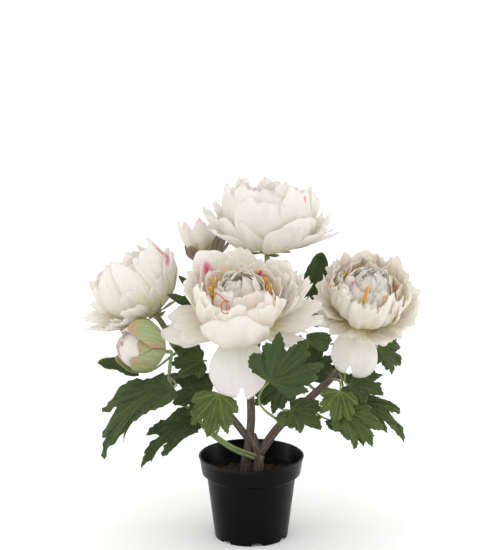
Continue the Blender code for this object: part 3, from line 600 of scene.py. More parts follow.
def leanOver(shape, azimuth, whorl, plan):
    # petals at the front of the bloom stand over the ball, and the ball is fuller
    length, half, start, end = shape
    if whorl in ("ball", "heart"):
        return length * plan["swell"], half * plan["swell"], start + 12, end + 8
    over = plan["closing"] * max(0.0, -math.sin(math.radians(azimuth)))
    longer, opened, closed, _ = plan["globe"]
    return (length * longer * (1 + 0.28 * over), half * (1 + 0.05 * over), start + opened + 10 * over,
            end + closed - 52 * over)


def edgeDetails(kindName, plan, draw):
    kind = dict(zip(edgeForms, petalKinds[kindName]))
    ragged = plan["ruffle"]
    return dict(
        seed=draw.randrange(10000),
        ruffle=kind["ruffle"] * ragged * draw.uniform(0.6, 1.2),
        nicks=kind["nicks"] * draw.uniform(0.5, 1.3),
        pleats=kind["pleats"] * draw.uniform(0.6, 1.4),
        fringe=kind["fringe"] * ragged * draw.uniform(0.5, 1.3),
        lobes=kind["lobes"] * draw.uniform(0.5, 1.4),
        curl=draw.uniform(*kind["curl"]),
        teeth=kind["teeth"],
        crumple=kind["crumple"] * ragged * draw.uniform(0.5, 1.2),
        sheet="small" if kindName == "fold" else "large",
        corner=0.18,
        square=5 if kindName == "hanging" else 3.2,
        dent=draw.uniform(-2.2, 2.2),
        skew=draw.uniform(-4, 4),
        fold=draw.uniform(-1.4, 0.6),
        warm=plan["warm"] * kind["warm"] * draw.uniform(0.5, 1.2),
        yellow=kind["yellow"],
        blush=max(0.0, draw.uniform(-0.5, 0.3)))


def petalsOf(plan):
    draw = random.Random(plan["seed"])  # the same draws as the solids
    more = random.Random(plan["seed"] + 500)
    ragged = plan["ruffle"]
    petals = []
    for i, (azimuth, *shape) in enumerate(plan["guards"]):
        spread, hanging = shape[3] > 60, shape[3] > 100
        kind = "hanging" if hanging else "spiky" if i in plan["spiky"] else "guard"
        phase = draw.uniform(0, 6.3)
        notch = 0.18 if hanging else draw.choice((0.0, 0.08))
        petals.append(newPetal(
            shape, azimuth, (9, 5.2 + 1.6 * (i % 2)), shingle=0.0, phase=phase, notch=notch,
            cup=-2.0 if spread else 2.0, flat=90 if spread else 6.0,
            wave=1.6 * ragged * (0.3 if hanging else 1), **edgeDetails(kind, plan, more)))
    for (whorl, count, root, kind), first in zip(whorls, plan["turns"]):
        kind = plan["wall"] if kind == "wall" else kind
        early = 1.0 if kind == "fold" else plan["globe"][3]
        for i in range(count):
            length, *shape = plan[whorl]
            length *= draw.uniform(0.95, 1.05)
            azimuth = first + 360 * i / count
            phase, notch = draw.uniform(0, 6.3), draw.choice((0.0, 0.07, 0.12))
            petals.append(newPetal(
                leanOver((length, *shape), azimuth, whorl, plan), azimuth, root, phase=phase, notch=notch,
                tilt=plan["tilt"], early=early, wave=ragged * (0.4 if whorl == "ball" else 1.0),
                **edgeDetails(kind, plan, more)))
    for whorl, count, turn, longer, wider, start, end, root, kind in plan["fillers"]:
        length, half, first, last = plan[whorl]
        early = 1.0 if kind == "fold" else plan["globe"][3]
        for i in range(count):
            shape = (length * longer * more.uniform(0.92, 1.06), half * wider * more.uniform(0.9, 1.1),
                     first + start + more.uniform(-3, 3), last + end + more.uniform(-6, 6))
            azimuth = turn + plan["turns"][0] + 360 * (i + more.uniform(-0.2, 0.2)) / count
            petals.append(newPetal(
                leanOver(shape, azimuth, whorl, plan), azimuth, root, phase=more.uniform(0, 6.3),
                notch=more.choice((0.0, 0.06, 0.10)), tilt=plan["tilt"], early=early,
                wave=ragged * more.uniform(0.5, 1.4), **edgeDetails(kind, plan, more)))
    for azimuth, *shape, kind in plan["own"]:
        petals.append(newPetal(
            shape, azimuth, (9, 6.5), phase=more.uniform(0, 6.3), tilt=plan["tilt"] / 2,
            notch=more.choice((0.0, 0.08, 0.12)), wave=1.5 * ragged, **edgeDetails(kind, plan, more)))
    for index, fleck in plan["flecks"].items():
        petals[index]["fleck"] = fleck
    return petals


# the mound of closed folds in the middle of a bloom, on the post that carries the petals
mound = {
    # radius and height down the mound, then down the post, for a ball petal of this length
    "outline": ((0.01, 67), (2, 66.9), (4, 66.5), (6, 65.8), (8, 64.8), (10, 63.3), (12, 61.4), (14, 58.8),
                (15.8, 55.8), (17.3, 52), (18.3, 48), (18.7, 44), (18.4, 40), (17, 35), (14, 30), (10.5, 26)),
    "post": ((5.4, 20), (5.4, 12.8), (11.5, 12.6), (12.8, 8), (8.5, 3.9), (0.01, 3.9)),
    "ball": 57,
    "top": 67, "middle": 40, "foot": 24, "neck": 20,  # heights on it
    "folds": (2.6, 1.0, 0.4),  # how high the broad, the narrow and the fine ones stand
    "sunk": 2.2,  # how far the hollows between them lie inside the outline
    "swirl": 3.4,  # how fast they wind towards the top
}


def moundPart(plan, names):
    size = plan["ball"][0] * plan["swell"] / mound["ball"]
    neck = mound["neck"]
    profile = [(max(0.01, r * size), neck + (z - neck) * size) for r, z in mound["outline"]]
    points, faces, _ = lathePart([*profile, *mound["post"]], 90, {})
    points = np.array([tuple(point) for point in points])
    x, y, z = points.T
    r, angle = np.hypot(x, y), np.arctan2(y, x)
    down = (mound["top"] - neck) * size + neck - z
    swirl = mound["swirl"] * np.log(r + 2)
    broad, narrow, fine = mound["folds"]
    folds = broad * np.abs(np.sin(1.5 * angle + swirl + plan["seed"])) ** 0.8
    folds += narrow * np.abs(np.sin(3.5 * angle + 0.8 * swirl + 2 * plan["seed"])) ** 0.8
    folds += fine * np.sin(9 * angle + 0.3 * down)
    # no folds at the very top, where they would meet, and none on the post
    folds = (folds - mound["sunk"]) * np.clip(r / 9, 0, 1) * np.clip((z - mound["foot"]) / 8, 0, 1)
    away = np.stack([x, y, z - mound["middle"] * size], -1)
    points = points + folds[:, None] * away / np.linalg.norm(away, axis=1)[:, None]
    values = dict.fromkeys(names, 0.0)
    # warm gives the mound the petals' peach, partly painted glow that lightens the shade it lies in
    values.update(along=np.clip(0.7 - down / 60, 0.05, 1), across=0.8 * np.sin(2 * angle), seed=plan["seed"],
                  warm=0.1 + 0.6 * plan["warm"], yellow=0.5)
    return points, faces, values


def makePetals(name, plan):
    parts = [petalPart(petal) for petal in petalsOf(plan)]
    print(name, "bloom:", len(parts), "petals")
    parts.append(moundPart(plan, parts[0][2]))
    material = petalMaterials[plan["material"]]
    addPiece(name + "Petals", parts, material, flowerPlace(plan), "petals_" + name)


petalMaterials = {look: makePetalMaterial(look) for look in ("ivory petal", "peach petal")}
for bloomName, bloomPlan in blooms.items():
    makePetals(bloomName, bloomPlan)


# Stamens

stamens = {
    "count": 150, "ring": (6.6, 10.2), "foot": 13.6,  # least and greatest radius, and height, of their feet
    "length": (33, 45), "ball": 49,  # least and greatest, where a ball petal has this length
    "filament": 0.4, "anther": (1.2, 4.6),  # its radius; its radius and length
    "antherSteps": (0, 0.15, 0.4, 0.7, 0.9, 1.0), "antherShape": (0.25, 0.8, 1.0, 0.95, 0.6, 0.15),
    "collar": ((6.3, 15), (10.2, 14.6), (10.4, 13.1), (6.3, 13.1), (6.3, 15)),  # the ring that carries them
    "strand": 0.7,  # radius of a red strand
    "colours": {
        "foot": (0.90, 0.72, 0.34), "filament": (0.88, 0.42, 0.10), "anther": (0.86, 0.53, 0.06),
        "grain": (0.52, 0.26, 0.03), "pale": (0.85, 0.62, 0.20), "red": (0.50, 0.09, 0.04),
    },
}
# red strands that curl out of a bloom, as points in the frame
strands = {
    "front": (((-39, -98, 309), (-33, -99, 306), (-27, -100, 299), (-26, -101, 291)),
              ((-24, -102, 300), (-28, -108, 303), (-32, -119, 300), (-31, -121, 294), (-26, -121, 292),
               (-23, -119, 297), (-25, -112, 300)),
              ((8, -52, 309), (10, -50, 315), (16, -48, 317), (20, -50, 312))),
}
# gold that shows in the clefts of a bloom: points in the frame, radius, and how many anthers lie there
clefts = {
    "right": ((((127, -37, 302), (126, -39, 292), (123, -42, 284)), 0.4, 13),
              (((86, -22, 301), (89, -24, 297), (92, -30, 295)), 0.5, 4),
              (((146, -40, 291), (149, -42, 289), (151, -44, 285)), 0.5, 4)),
}


def makeStamenMaterial():
    material, tree, shader = newMaterial("gold stamen", 0.7)
    colours = stamens["colours"]
    along, seed, red = readValues(tree, "along", "seed", "red")
    grains = cloudy(tree, ownPlace(tree), 2600.0, 2.0)
    colour = tint(tree, fade(tree, along, 0.1, 0.8), colours["foot"], colours["filament"])
    colour = tint(tree, fade(tree, along, 0.86, 0.9), colour, colours["anther"])
    colour = tint(tree, fade(tree, grains, 0.45, 0.7, 0.0, 0.5), colour, colours["grain"])
    colour = tint(tree, fade(tree, seed, 0.0, 1.0, 0.0, 0.35), colour, colours["pale"])
    paint(tree, shader, tint(tree, red, colour, colours["red"]))
    relief(tree, shader, grains, 0.6, 0.0003)
    return material


def stamenParts(plan, draw):
    parts = []
    thin, (wide, tall) = stamens["filament"], stamens["anther"]
    for i in range(stamens["count"]):
        azimuth = 2 * math.pi * (i * 0.618 + draw.uniform(-0.01, 0.01))
        r, z = draw.uniform(*stamens["ring"]), stamens["foot"]
        length = draw.uniform(*stamens["length"]) * plan["ball"][0] / stamens["ball"]
        start, end = math.radians(draw.uniform(50, 60)), math.radians(draw.uniform(2, 22))
        sideways = draw.uniform(-0.12, 0.12)
        path, steps = [], 6
        for k in range(steps + 1):
            turn = azimuth + sideways * k / steps
            path.append(Vector((r * math.cos(turn), r * math.sin(turn), z)))
            lean = start + (end - start) * k / steps
            r += math.sin(lean) * length / steps
            z += math.cos(lean) * length / steps
        values = {"seed": draw.random(), "red": 0.0}
        filament = tubePart(path, lambda s, a: thin * (1 - 0.35 * s), 4, values)
        filament[2]["along"] = 0.85 * filament[2]["stemShare"]
        parts.append(filament)
        girth = wide * draw.uniform(0.8, 1.2)
        ahead = (path[-1] - path[-2]).normalized()
        lean = Vector((draw.uniform(-1, 1), draw.uniform(-1, 1), draw.uniform(0, 1))) * 0.6
        ahead = (ahead + lean).normalized()
        head = [path[-1] + ahead * tall * (u - 0.35) for u in stamens["antherSteps"]]

        def radius(s, angle):
            return girth * stamens["antherShape"][round(s * 5)] * (1 - 0.3 * abs(math.sin(angle)))

        parts.append(tubePart(head, radius, 7, {**values, "along": 0.92}))
    return parts


def makeStamens(name, plan, material):
    draw = random.Random(plan["seed"] + 100)
    values = dict.fromkeys(("along", "seed", "red", "stemShare", "roundX", "roundY"), 0.0)
    parts = [lathePart(stamens["collar"], 32, values), *stamenParts(plan, draw)]
    # the ring of stamens tilts with the inner petals
    lift = Matrix.Translation((0, 0, petalSheet["pivot"] * mm))
    back = lift @ Matrix.Rotation(-math.radians(plan["tilt"]), 4, "X") @ lift.inverted()
    place = flowerPlace(plan) @ back
    home = place.inverted()
    for strand in strands.get(name, ()):
        path = [home @ (point * mm) / mm for point in smoothPath(strand, 6)]
        values = {"seed": 0.0, "red": 1.0, "along": 0.5}
        parts.append(tubePart(path, lambda s, a: stamens["strand"] * (1 - 0.5 * s), 8, values))
    for cleft, thick, count in clefts.get(name, ()):
        for _ in range(count):
            aside = Vector((draw.uniform(-2.2, 2.2), draw.uniform(-1, 0.5), draw.uniform(-2, 2)))
            path = [home @ ((point + aside) * mm) / mm for point in smoothPath(cleft, 5)]
            path = path[draw.randrange(4):]
            values = {"seed": draw.random(), "red": draw.uniform(0.15, 0.5), "along": 0.92}
            parts.append(tubePart(
                path, lambda s, a: thick * (0.35 + math.sin(math.pi * s) ** 0.5), 7, values))
    addPiece(name + "Stamens", parts, material, place, "stamens_" + name)


goldStamen = makeStamenMaterial()
for bloomName, bloomPlan in blooms.items():
    makeStamens(bloomName, bloomPlan, goldStamen)
print("stamens ready")


# Calyxes and buds

calyx = {
    "colours": {  # body, veins and edge of each look
        "green": ((0.32, 0.37, 0.17), (0.22, 0.27, 0.10), (0.46, 0.21, 0.16)),
        "brown": ((0.19, 0.125, 0.10), (0.11, 0.07, 0.06), (0.36, 0.24, 0.20)),
    },
    # radius and height round the cup under a bloom, from the middle of its top
    "cup": ((0.01, 3.6), (8.2, 3.6), (9.0, 3.3), (8.8, 2.6), (7.5, 1.0), (5.4, 0.5), (4.4, 0.3), (0.01, 0.3)),
}


def makeSepalMaterial(look):
    body, vein, edge = calyx["colours"][look]
    material, tree, shader = newMaterial(look + " sepal", 0.55)
    shader.inputs["Subsurface Weight"].default_value = 0.15
    shader.inputs["Subsurface Radius"].default_value = (0.6, 0.9, 0.3)
    shader.inputs["Subsurface Scale"].default_value = 0.003
    along, across, seed = readValues(tree, "along", "across", "seed")
    streaks = cloudy(tree, vector(tree, times(tree, across, 14.0), times(tree, along, 1.5), seed), 1.0)
    blotches = cloudy(tree, vector(tree, times(tree, across, 2.5), times(tree, along, 3.0), seed), 1.0)
    colour = tint(tree, fade(tree, streaks, 0.42, 0.7), body, vein)
    # the edge colour reaches in from the sides and the tip, in blotches
    sideways = maths(tree, "ABSOLUTE", across)
    reach = maths(tree, "MAXIMUM", fade(tree, sideways, 0.66, 1.0), fade(tree, along, 0.68, 1.0))
    reach = times(tree, reach, fade(tree, along, 0.15, 0.5))
    reach = times(tree, reach, fade(tree, blotches, 0.25, 0.65, 0.25, 1.0))
    paint(tree, shader, tint(tree, reach, colour, edge))
    relief(tree, shader, streaks, 0.4, 0.0006)
    return material


def footValues(part):
    # the values of the turned cup under sepals, from those of one sepal
    return {**dict.fromkeys(part[2], 0.0), "along": 0.05}


def makeCalyx(name, plan, material):
    draw = random.Random(plan["seed"] + 900)
    parts = []
    for i, azimuth in enumerate(plan["sepals"]):
        shape = (24 - 3 * (i % 2), 8, 99, 86)
        sepal = newPetal(shape, azimuth, (5, 2.2), draw.randrange(1000), cup=1.5, shingle=0.0, ruffle=0.3,
                         sheet="small")
        parts.append(petalPart(sepal))
    parts.append(lathePart(calyx["cup"], 40, footValues(parts[0])))
    addPiece(name + "Calyx", parts, material, flowerPlace(plan), "calyx_" + name)


# The driving values of a bud. rolled and sepals: the shape of its petals and sepals. petals and around:
# azimuth, length as a share and gain of the leans. point: how far the petals' corners are cut. size: of its
# filling.
buds = {
    "low": dict(
        base=(-95, -50, 231), faces=(-0.92, -0.25, 0.28), size=1.0, rolled=(66, 28, 80, -66), point=0.2,
        petals=((30, 1, 0, 0), (150, 1, 0, 0), (270, 1, 0, 0), (90, 1.05, -6, -34), (210, 1.05, -6, -34),
                (330, 1.05, -6, -34)),
        sepals=(60, 25, 84, -40), look="green", slot="sepal",
        around=((342, 1.12, -8), (78, 1.1, 0), (166, 1.06, -4), (300, 0.84, 4), (248, 0.88, 4))),
    "back": dict(
        base=(-54, 80, 300), faces=(-0.12, 0.1, 0.98), size=0.7, rolled=(56, 19, 48, -18), point=0.5,
        petals=((200, 1.05, 2, 14), (150, 0.95, 2, 8), (270, 0.92, 0, 0), (90, 0.9, 0, 0), (30, 0.8, 0, 0),
                (330, 0.8, 0, -4)),
        sepals=(38, 13, 72, 6), look="brown", slot="brown_sepal",
        around=((0, 1.3, 14), (120, 1.1, 10), (240, 0.9, 0), (310, 1.45, -2), (50, 1.3, 10))),
}
# radius and height down the filling of a bud, down the neck under it, and round the cup of its sepals
budForm = {
    "filling": ((0.01, 36), (10, 29), (12, 18)),
    "neck": ((5, 2.9), (0.01, 2.9)),
    "cup": ((0.01, 2.6), (6, 2.6), (6.6, 2.0), (6.0, 1.2), (4.2, 0.3), (0.01, 0.3)),
}


def makeBudPetals(name, plan):
    parts = []
    length, half, start, end = plan["rolled"]
    for i, (azimuth, longer, opened, closed) in enumerate(plan["petals"]):
        outer = i > 2
        shape = (length * longer, half * (0.85 if outer else 1), start + opened, end + closed)
        petal = newPetal(shape, azimuth, (3, 6.6 if outer else 4.6), 50 + i, shingle=0.8, cup=0.0, notch=0.04,
                         fringe=0.02, ruffle=0.25, fold=-0.3, blush=0.7 * (i % 2), warm=0.15, crumple=0.4,
                         corner=plan["point"], square=1.5)
        parts.append(petalPart(petal))
    size = plan["size"]
    filling = [(max(0.01, r * size), z * size) for r, z in budForm["filling"]]
    parts.append(lathePart([*filling, *budForm["neck"]], 32, dict.fromkeys(parts[0][2], 0.0)))
    node = "bud_" + name + "_petals"
    addPiece(name + "BudPetals", parts, petalMaterials["ivory petal"], flowerPlace(plan), node)


def makeBudSepals(name, plan, material):
    parts = []
    length, half, start, end = plan["sepals"]
    for i, (azimuth, longer, opened) in enumerate(plan["around"]):
        shape, root = (length * longer, half, start, end + opened), (4.6, 1.9 + 0.4 * (i % 2))
        sepal = newPetal(shape, azimuth, root, 70 + i, shingle=0.8, cup=0.0, ruffle=0.8, fold=-0.5,
                         curl=10 + 12 * (i % 2), corner=0.42, square=1.6, crumple=0.4, lobes=0.02)
        parts.append(petalPart(sepal))
    parts.append(lathePart(budForm["cup"], 32, footValues(parts[0])))
    node = "bud_" + name + "_sepals"
    addPiece(name + "BudSepals", parts, material, flowerPlace(plan), node)


sepalMaterials = {look: makeSepalMaterial(look) for look in calyx["colours"]}
for bloomName, bloomPlan in blooms.items():
    makeCalyx(bloomName, bloomPlan, sepalMaterials["green"])
for budName, budPlan in buds.items():
    makeBudPetals(budName, budPlan)
    makeBudSepals(budName, budPlan, sepalMaterials[budPlan["look"]])
print("calyxes and buds ready")


# Leaves

leafSheet = {
    "rows": 17, "perSpan": 6, "thickness": 0.45,
    "fold": 0.28,  # how steeply the halves rise from the midrib
    "bulge": 0.05,  # of the edge between two corners, as a share of the run
    "teeth": (0.0, 0.10, 0.01, 0.02, 0.12, 0.02),  # the same for each of its points
    "sideVeins": 3.4, "slant": 1.15,  # half the distance between two, in mm, and how steeply they run
    # between and in the blotches of a dark leaf and of a light one; veins: on a dark leaf, and on a light one
    "colours": {
        "dark": ((0.002, 0.0025, 0.001), (0.027, 0.030, 0.006)),
        "light": ((0.045, 0.058, 0.009), (0.15, 0.154, 0.016)),
        "veins": ((0.085, 0.105, 0.022), (0.30, 0.33, 0.08)),
        "speckle": (0.030, 0.033, 0.010),
        "under": (0.085, 0.13, 0.06),
        "shine": (0.75, 0.85, 0.35),
    },
}
# half outlines: angle from the midrib in degrees, and radius as a share of the length; veins: their angles
leafKinds = {
    "long": dict(veins=(0, 29, 66), toothed=True, outline=(
        (0, 1.0), (5, 0.80), (9, 0.84), (14, 0.60), (21, 0.50), (28, 0.72), (34, 0.58), (46, 0.42),
        (64, 0.30), (100, 0.16))),
    "broad": dict(veins=(0, 37, 84), toothed=True, outline=(
        (0, 1.0), (8, 0.82), (14, 0.84), (21, 0.60), (30, 0.80), (38, 0.92), (46, 0.74), (55, 0.76),
        (66, 0.50), (82, 0.62), (98, 0.52), (122, 0.26))),
    "slim": dict(veins=(0,), toothed=False, outline=(
        (0, 1.0), (5, 0.91), (10, 0.74), (15, 0.57), (22, 0.41), (36, 0.26), (80, 0.12))),
    "forked": dict(veins=(15, 82), toothed=False, outline=(
        (0, 0.50), (8, 0.66), (14, 1.0), (20, 0.80), (27, 0.52), (46, 0.28), (66, 0.38), (82, 0.50),
        (100, 0.16))),
}
# Each leaf: where its foot and tip are, which way it looks, its kind, arch in degrees, width as a share, and
# shade, from 0 for the dark leaves to 1 for the light ones; then the stem it hangs on, and how far along it.
leaves = {
    "low_left": ((-86, -64, 194), (-161, -78, 116), (-0.5, -0.5, 0.7), "long", 88, 0.8, 0.12, "low", 0.56),
    "low_centre": ((-61, -48, 151), (-121, -66, 101), (-0.3, -0.4, 0.8), "long", 55, 0.88, 0.1, "low", 0.30),
    "bright": ((-36, -70, 189), (-48, -84, 143), (-0.1, -0.95, 0.3), "broad", 25, 0.72, 0.85, "low", 0.22),
    "dark": ((-44, -35, 180), (-88, -44, 170), (-0.1, -0.7, 0.7), "broad", 35, 0.95, 0.0, "low", 0.28),
    "front_right": ((19, -101, 211), (62, -118, 264), (0.2, -0.95, 0.1),
                    "broad", 22, 0.74, 0.05, "right", 0.16),
    "under_front": ((38, -20, 188), (4, -30, 163), (-0.1, -0.8, 0.5), "broad", 30, 0.85, 0.0, "right", 0.22),
    "behind_front": ((59, 32, 184), (81, 22, 228), (0.1, -0.8, 0.5), "broad", 30, 0.8, 0.0, "right", 0.34),
    "light_right": ((101, -50, 162), (134, -72, 128), (0.2, -0.6, 0.7),
                    "broad", 40, 0.72, 0.5, "right", 0.38),
    "beneath": ((87, -9, 229), (61, -38, 247), (-0.1, -0.85, 0.2), "slim", 30, 1.6, 0.1, "right", 0.60),
    "front_low": ((43, -42, 161), (78, -64, 147), (0.2, -0.5, 0.8), "broad", 30, 1.0, 0.5, "right", 0.18),
    "yellow": ((98, -50, 186), (90, -72, 154), (0.2, -0.8, 0.6), "broad", 30, 0.75, 0.9, "right", 0.42),
    "far_right": ((113, -18, 162), (175, -34, 122), (0.2, -0.4, 0.9), "long", 60, 0.8, 0.3, "right", 0.46),
    "low_right": ((88, -20, 143), (127, -46, 122), (0.2, -0.3, 0.9), "long", 40, 1.0, 0.3, "right", 0.28),
    "under_right": ((110, -18, 184), (148, -36, 178), (0.1, -0.5, 0.8),
                    "broad", 40, 1.0, 0.15, "right", 0.50),
    "beside_right": ((145, 36, 213), (172, 46, 188), (0.3, -0.6, 0.7), "broad", 30, 1.0, 0.1, "right", 0.72),
    "under_left": ((-54, -26, 214), (-92, -30, 210), (-0.1, -0.7, 0.7),
                   "broad", 30, 0.85, 0.15, "left", 0.46),
    "beside_bud": ((-128, 8, 192), (-174, 4, 204), (-0.1, -0.7, 0.7), "slim", 30, 1.3, 0.4, "left", 0.52),
    "between": ((-50, -18, 274), (-88, -32, 303), (-0.2, -0.9, 0.4), "forked", 20, 1.0, 0.1, "left", 0.70),
    "behind_right": ((66, 58, 268), (81, 62, 318), (0.2, -0.8, 0.3), "slim", 20, 1.6, 0.0, "top", 0.55),
    "back_low_left": ((-56, 52, 170), (-120, 84, 128), (-0.3, 0.5, 0.8), "long", 60, 1.1, 0.2, "left", 0.26),
    "back_low_right": ((70, 56, 172), (132, 92, 134), (0.3, 0.5, 0.8), "long", 60, 1.1, 0.3, "right", 0.34),
    "back_centre": ((4, 62, 176), (6, 124, 132), (0.0, 0.5, 0.9), "broad", 60, 0.95, 0.2, "trunk", 0.85),
    "back_high": ((48, 80, 236), (78, 122, 212), (0.3, 0.7, 0.7), "broad", 45, 1.0, 0.15, "top", 0.42),
}


def makeLeafMaterial():
    material, tree, shader = newMaterial("leaf green", 0.36, 0.05)
    colours = leafSheet["colours"]
    shader.inputs["Specular Tint"].default_value = (*colours["shine"], 1)
    along, aside, x, y = readValues(tree, "veinAlong", "veinAside", "leafX", "leafY")  # in mm
    seed, light, edge, under = readValues(tree, "seed", "light", "edge", "under")
    where = vector(tree, x, y, times(tree, seed, 7.3))
    blotches = fade(tree, cloudy(tree, where, 0.06, 4.0), 0.3, 0.7)
    fine = cloudy(tree, where, 0.7)
    # main veins taper, side veins leave them at a slant, and a net lies between
    width = fade(tree, along, 0.0, 60.0, 0.75, 0.22)
    main = fade(tree, minus(tree, aside, width), 0.35, -0.1)
    slant = minus(tree, along, times(tree, aside, leafSheet["slant"]))
    slant = plus(tree, slant, fade(tree, blotches, 0.3, 0.7, -1.2, 1.2))
    sideVein = fade(tree, maths(tree, "PINGPONG", slant, leafSheet["sideVeins"]), 0.36, 0.06)
    cells = addNode(tree, "TexVoronoi", {"Vector": where, "Scale": 0.55}, "Distance",
                    feature="DISTANCE_TO_EDGE")
    net = fade(tree, cells, 0.10, 0.02)
    colour = tint(tree, blotches, *colours["dark"])
    colour = tint(tree, light, colour, tint(tree, blotches, *colours["light"]))
    colour = tint(tree, fade(tree, fine, 0.45, 0.75, 0.0, 0.25), colour, colours["speckle"])
    pale = tint(tree, light, *colours["veins"])
    colour = tint(tree, times(tree, net, 0.22), colour, pale)
    colour = tint(tree, times(tree, sideVein, 0.50), colour, pale)
    colour = tint(tree, times(tree, main, 0.85), colour, pale)
    colour = tint(tree, fade(tree, edge, 0.90, 1.0, 0.0, 0.4), colour, pale)
    colour = tint(tree, times(tree, under, 0.55), colour, colours["under"])
    paint(tree, shader, colour, fade(tree, fine, 0.2, 0.8, 0.30, 0.46))
    veins = maths(tree, "MAXIMUM", main, times(tree, sideVein, 0.7))
    height = minus(tree, times(tree, fine, 0.35), veins)
    relief(tree, shader, minus(tree, height, times(tree, net, 0.3)), 0.55, 0.0007)
    return material


def leafOutline(kind, width, draw):
    half = [(math.radians(angle) * width, radius) for angle, radius in kind["outline"]]
    whole = [(-angle, radius) for angle, radius in reversed(half)] + half[1:]
    corners = [np.array([radius * math.sin(angle), radius * math.cos(angle)]) for angle, radius in whole]
    line = []
    bulge = leafSheet["bulge"] * (1 if kind["toothed"] else 1.6)
    for a, b in zip(corners, corners[1:]):
        run = b - a
        out = np.array([-run[1], run[0]])  # outwards: the outline runs clockwise from the left of the foot
        for k in range(leafSheet["perSpan"]):
            u = k / leafSheet["perSpan"]
            tooth = leafSheet["teeth"][k] * draw.uniform(0.6, 1.3) if kind["toothed"] else 0
            line.append(a + run * u + out * (bulge * math.sin(math.pi * u) + tooth))
    line.append(corners[-1])
    return np.array(line)


def leafPlace(foot, tip, looks, arch):
    ahead = (tip - foot).normalized()
    up = Vector(looks)
    up = (up - up.dot(ahead) * ahead).normalized()
    lean = Matrix.Rotation(math.radians(arch / 2), 3, ahead.cross(up))
    along, normal = lean @ ahead, lean @ up
    place = Matrix((along.cross(normal), along, normal)).transposed().to_4x4()  # x across, y along, z up
    place.translation = foot * mm
    return place


def makeLeaf(name, material):
    foot, tip, looks, kindName, arch, width, light, _, _ = leaves[name]
    foot, tip = Vector(foot), Vector(tip)
    kind = leafKinds[kindName]
    draw = random.Random(name)
    length = (tip - foot).length * math.radians(arch / 2) / math.sin(math.radians(arch / 2))
    line = leafOutline(kind, width, draw) * length
    share = np.linspace(0.004, 1, leafSheet["rows"] + 1)[:, None]
    flat = share[..., None] * line[None]
    x, y = flat[..., 0], flat[..., 1]
    # how far along and aside of the nearest main vein, which all start at the foot, each point lies
    angles, distance = np.arctan2(x, y), np.hypot(x, y)
    rays = np.radians([vein * side for vein in kind["veins"] for side in (1, -1)]) * width
    apart = np.minimum(np.abs(angles[..., None] - rays).min(-1), math.pi / 2)
    veinAlong, veinAside = distance * np.cos(apart), distance * np.sin(apart)
    # the fold at the midrib, waves, sunk main veins, and ribs between the side veins
    phases = [draw.uniform(0, 6.3) for _ in range(6)]
    size = length / 60
    lift = leafSheet["fold"] * np.abs(x) - 0.35 * x * x / length
    lift += 3.4 * size * share**2 * np.sin(x / (8 * size) + phases[0]) * np.sin(y / (12 * size) + phases[1])
    lift += 2.2 * size * share**3 * np.sin(x / (3.8 * size) + y / (5 * size) + phases[2])
    lift -= 1.1 * np.exp(-(veinAside / 1.8) ** 2) * np.clip(distance / 8, 0, 1)
    ribs = np.cos((veinAlong - leafSheet["slant"] * veinAside) * math.pi / leafSheet["sideVeins"])
    lift += 0.32 * ribs * np.clip(veinAside / 4, 0, 1)
    bend = length / math.radians(arch)
    turn = y / bend
    points = np.stack([x, (bend + lift) * np.sin(turn), (bend + lift) * np.cos(turn) - bend], -1)
    corners, faces = closedSheet(points[:, ::-1], leafSheet["thickness"])
    half = len(corners) // 2
    values = {"seed": draw.uniform(0, 9), "light": light, "under": np.repeat((0.0, 1.0), half)}
    grids = {"veinAlong": veinAlong, "veinAside": veinAside, "leafX": x, "leafY": y,
             "edge": np.broadcast_to(share, x.shape)}
    values.update({key: np.tile(grid[:, ::-1].ravel(), 2) for key, grid in grids.items()})
    pieceName = "leaf" + "".join(word.capitalize() for word in name.split("_"))
    place = leafPlace(foot, tip, looks, arch)
    addPiece(pieceName, [(corners, faces, values)], material, place, "leaf_" + name)


leafGreen = makeLeafMaterial()
for leafName in leaves:
    makeLeaf(leafName, leafGreen)
print(len(leaves), "leaves ready")


# Stems

# Each stem: points along its middle and the radii at its foot and end, as in the solids, and how green it is
# there, from 0 for bark to 1.
stems = {
    "trunk": (((-10, 5, 58), (-6, 3, 88), (-2, 2, 116), (0, 1, 142), (-1, 0, 168)), 5.6, 4.4, 0.0, 0.1),
    "root": (((7, -4, 58), (8, -4, 78), (8, -4, 98), (1, 0, 120)), 6.6, 4.6, 0.35, 0.2),
    "front": (((-1, 0, 160), (-3, -6, 196), (-6, -16, 230)), 4.2, 3.2, 0.1, 0.7),
    "top": (((-1, 0, 160), (4, 16, 205), (12, 30, 262)), 4.0, 3.0, 0.1, 0.8),
    "right": (((9, -4, 98), (32, -2, 130), (62, 2, 158), (92, 8, 186), (112, 17, 216)), 5.4, 3.0, 0.1, 0.4),
    "left": (((-2, 2, 112), (-24, 6, 140), (-55, 7, 172), (-70, 6, 198), (-88, 3, 226)), 4.4, 3.0, 0.2, 0.6),
    "low": (((7, -6, 94), (-20, -16, 108), (-48, -19, 130), (-74, -22, 160), (-90, -32, 188),
             (-90, -42, 214)), 4.2, 2.8, 1.0, 0.7),
    "back": (((4, 16, 205), (-14, 44, 238), (-36, 66, 268)), 3.2, 2.6, 0.4, 0.8),
}
stemForm = {
    # the low stem is a pair of thin ones: how far each starts above it, and its radii as shares
    "pair": ((2.3, 0.46, 0.598), (-2.2, 0.46, 0.598)),
    "underBloom": 15, "underBud": 8,  # mm of straight stem
    "stalkGap": 0.36,  # mm between a stalk and its leaf
    "stalkStops": (0, 0.4, 0.8, 1), "stalkRadii": (1.6, 1.2, 1.05, 0.9),  # at these shares of its length
    "stalkGreen": 0.9,
    "bark": ((0.055, 0.038, 0.030), (0.17, 0.125, 0.105)), "patches": (0.22, 0.19, 0.13),
    "shoot": ((0.15, 0.20, 0.07), (0.30, 0.36, 0.15)), "blush": (0.36, 0.22, 0.15),
}


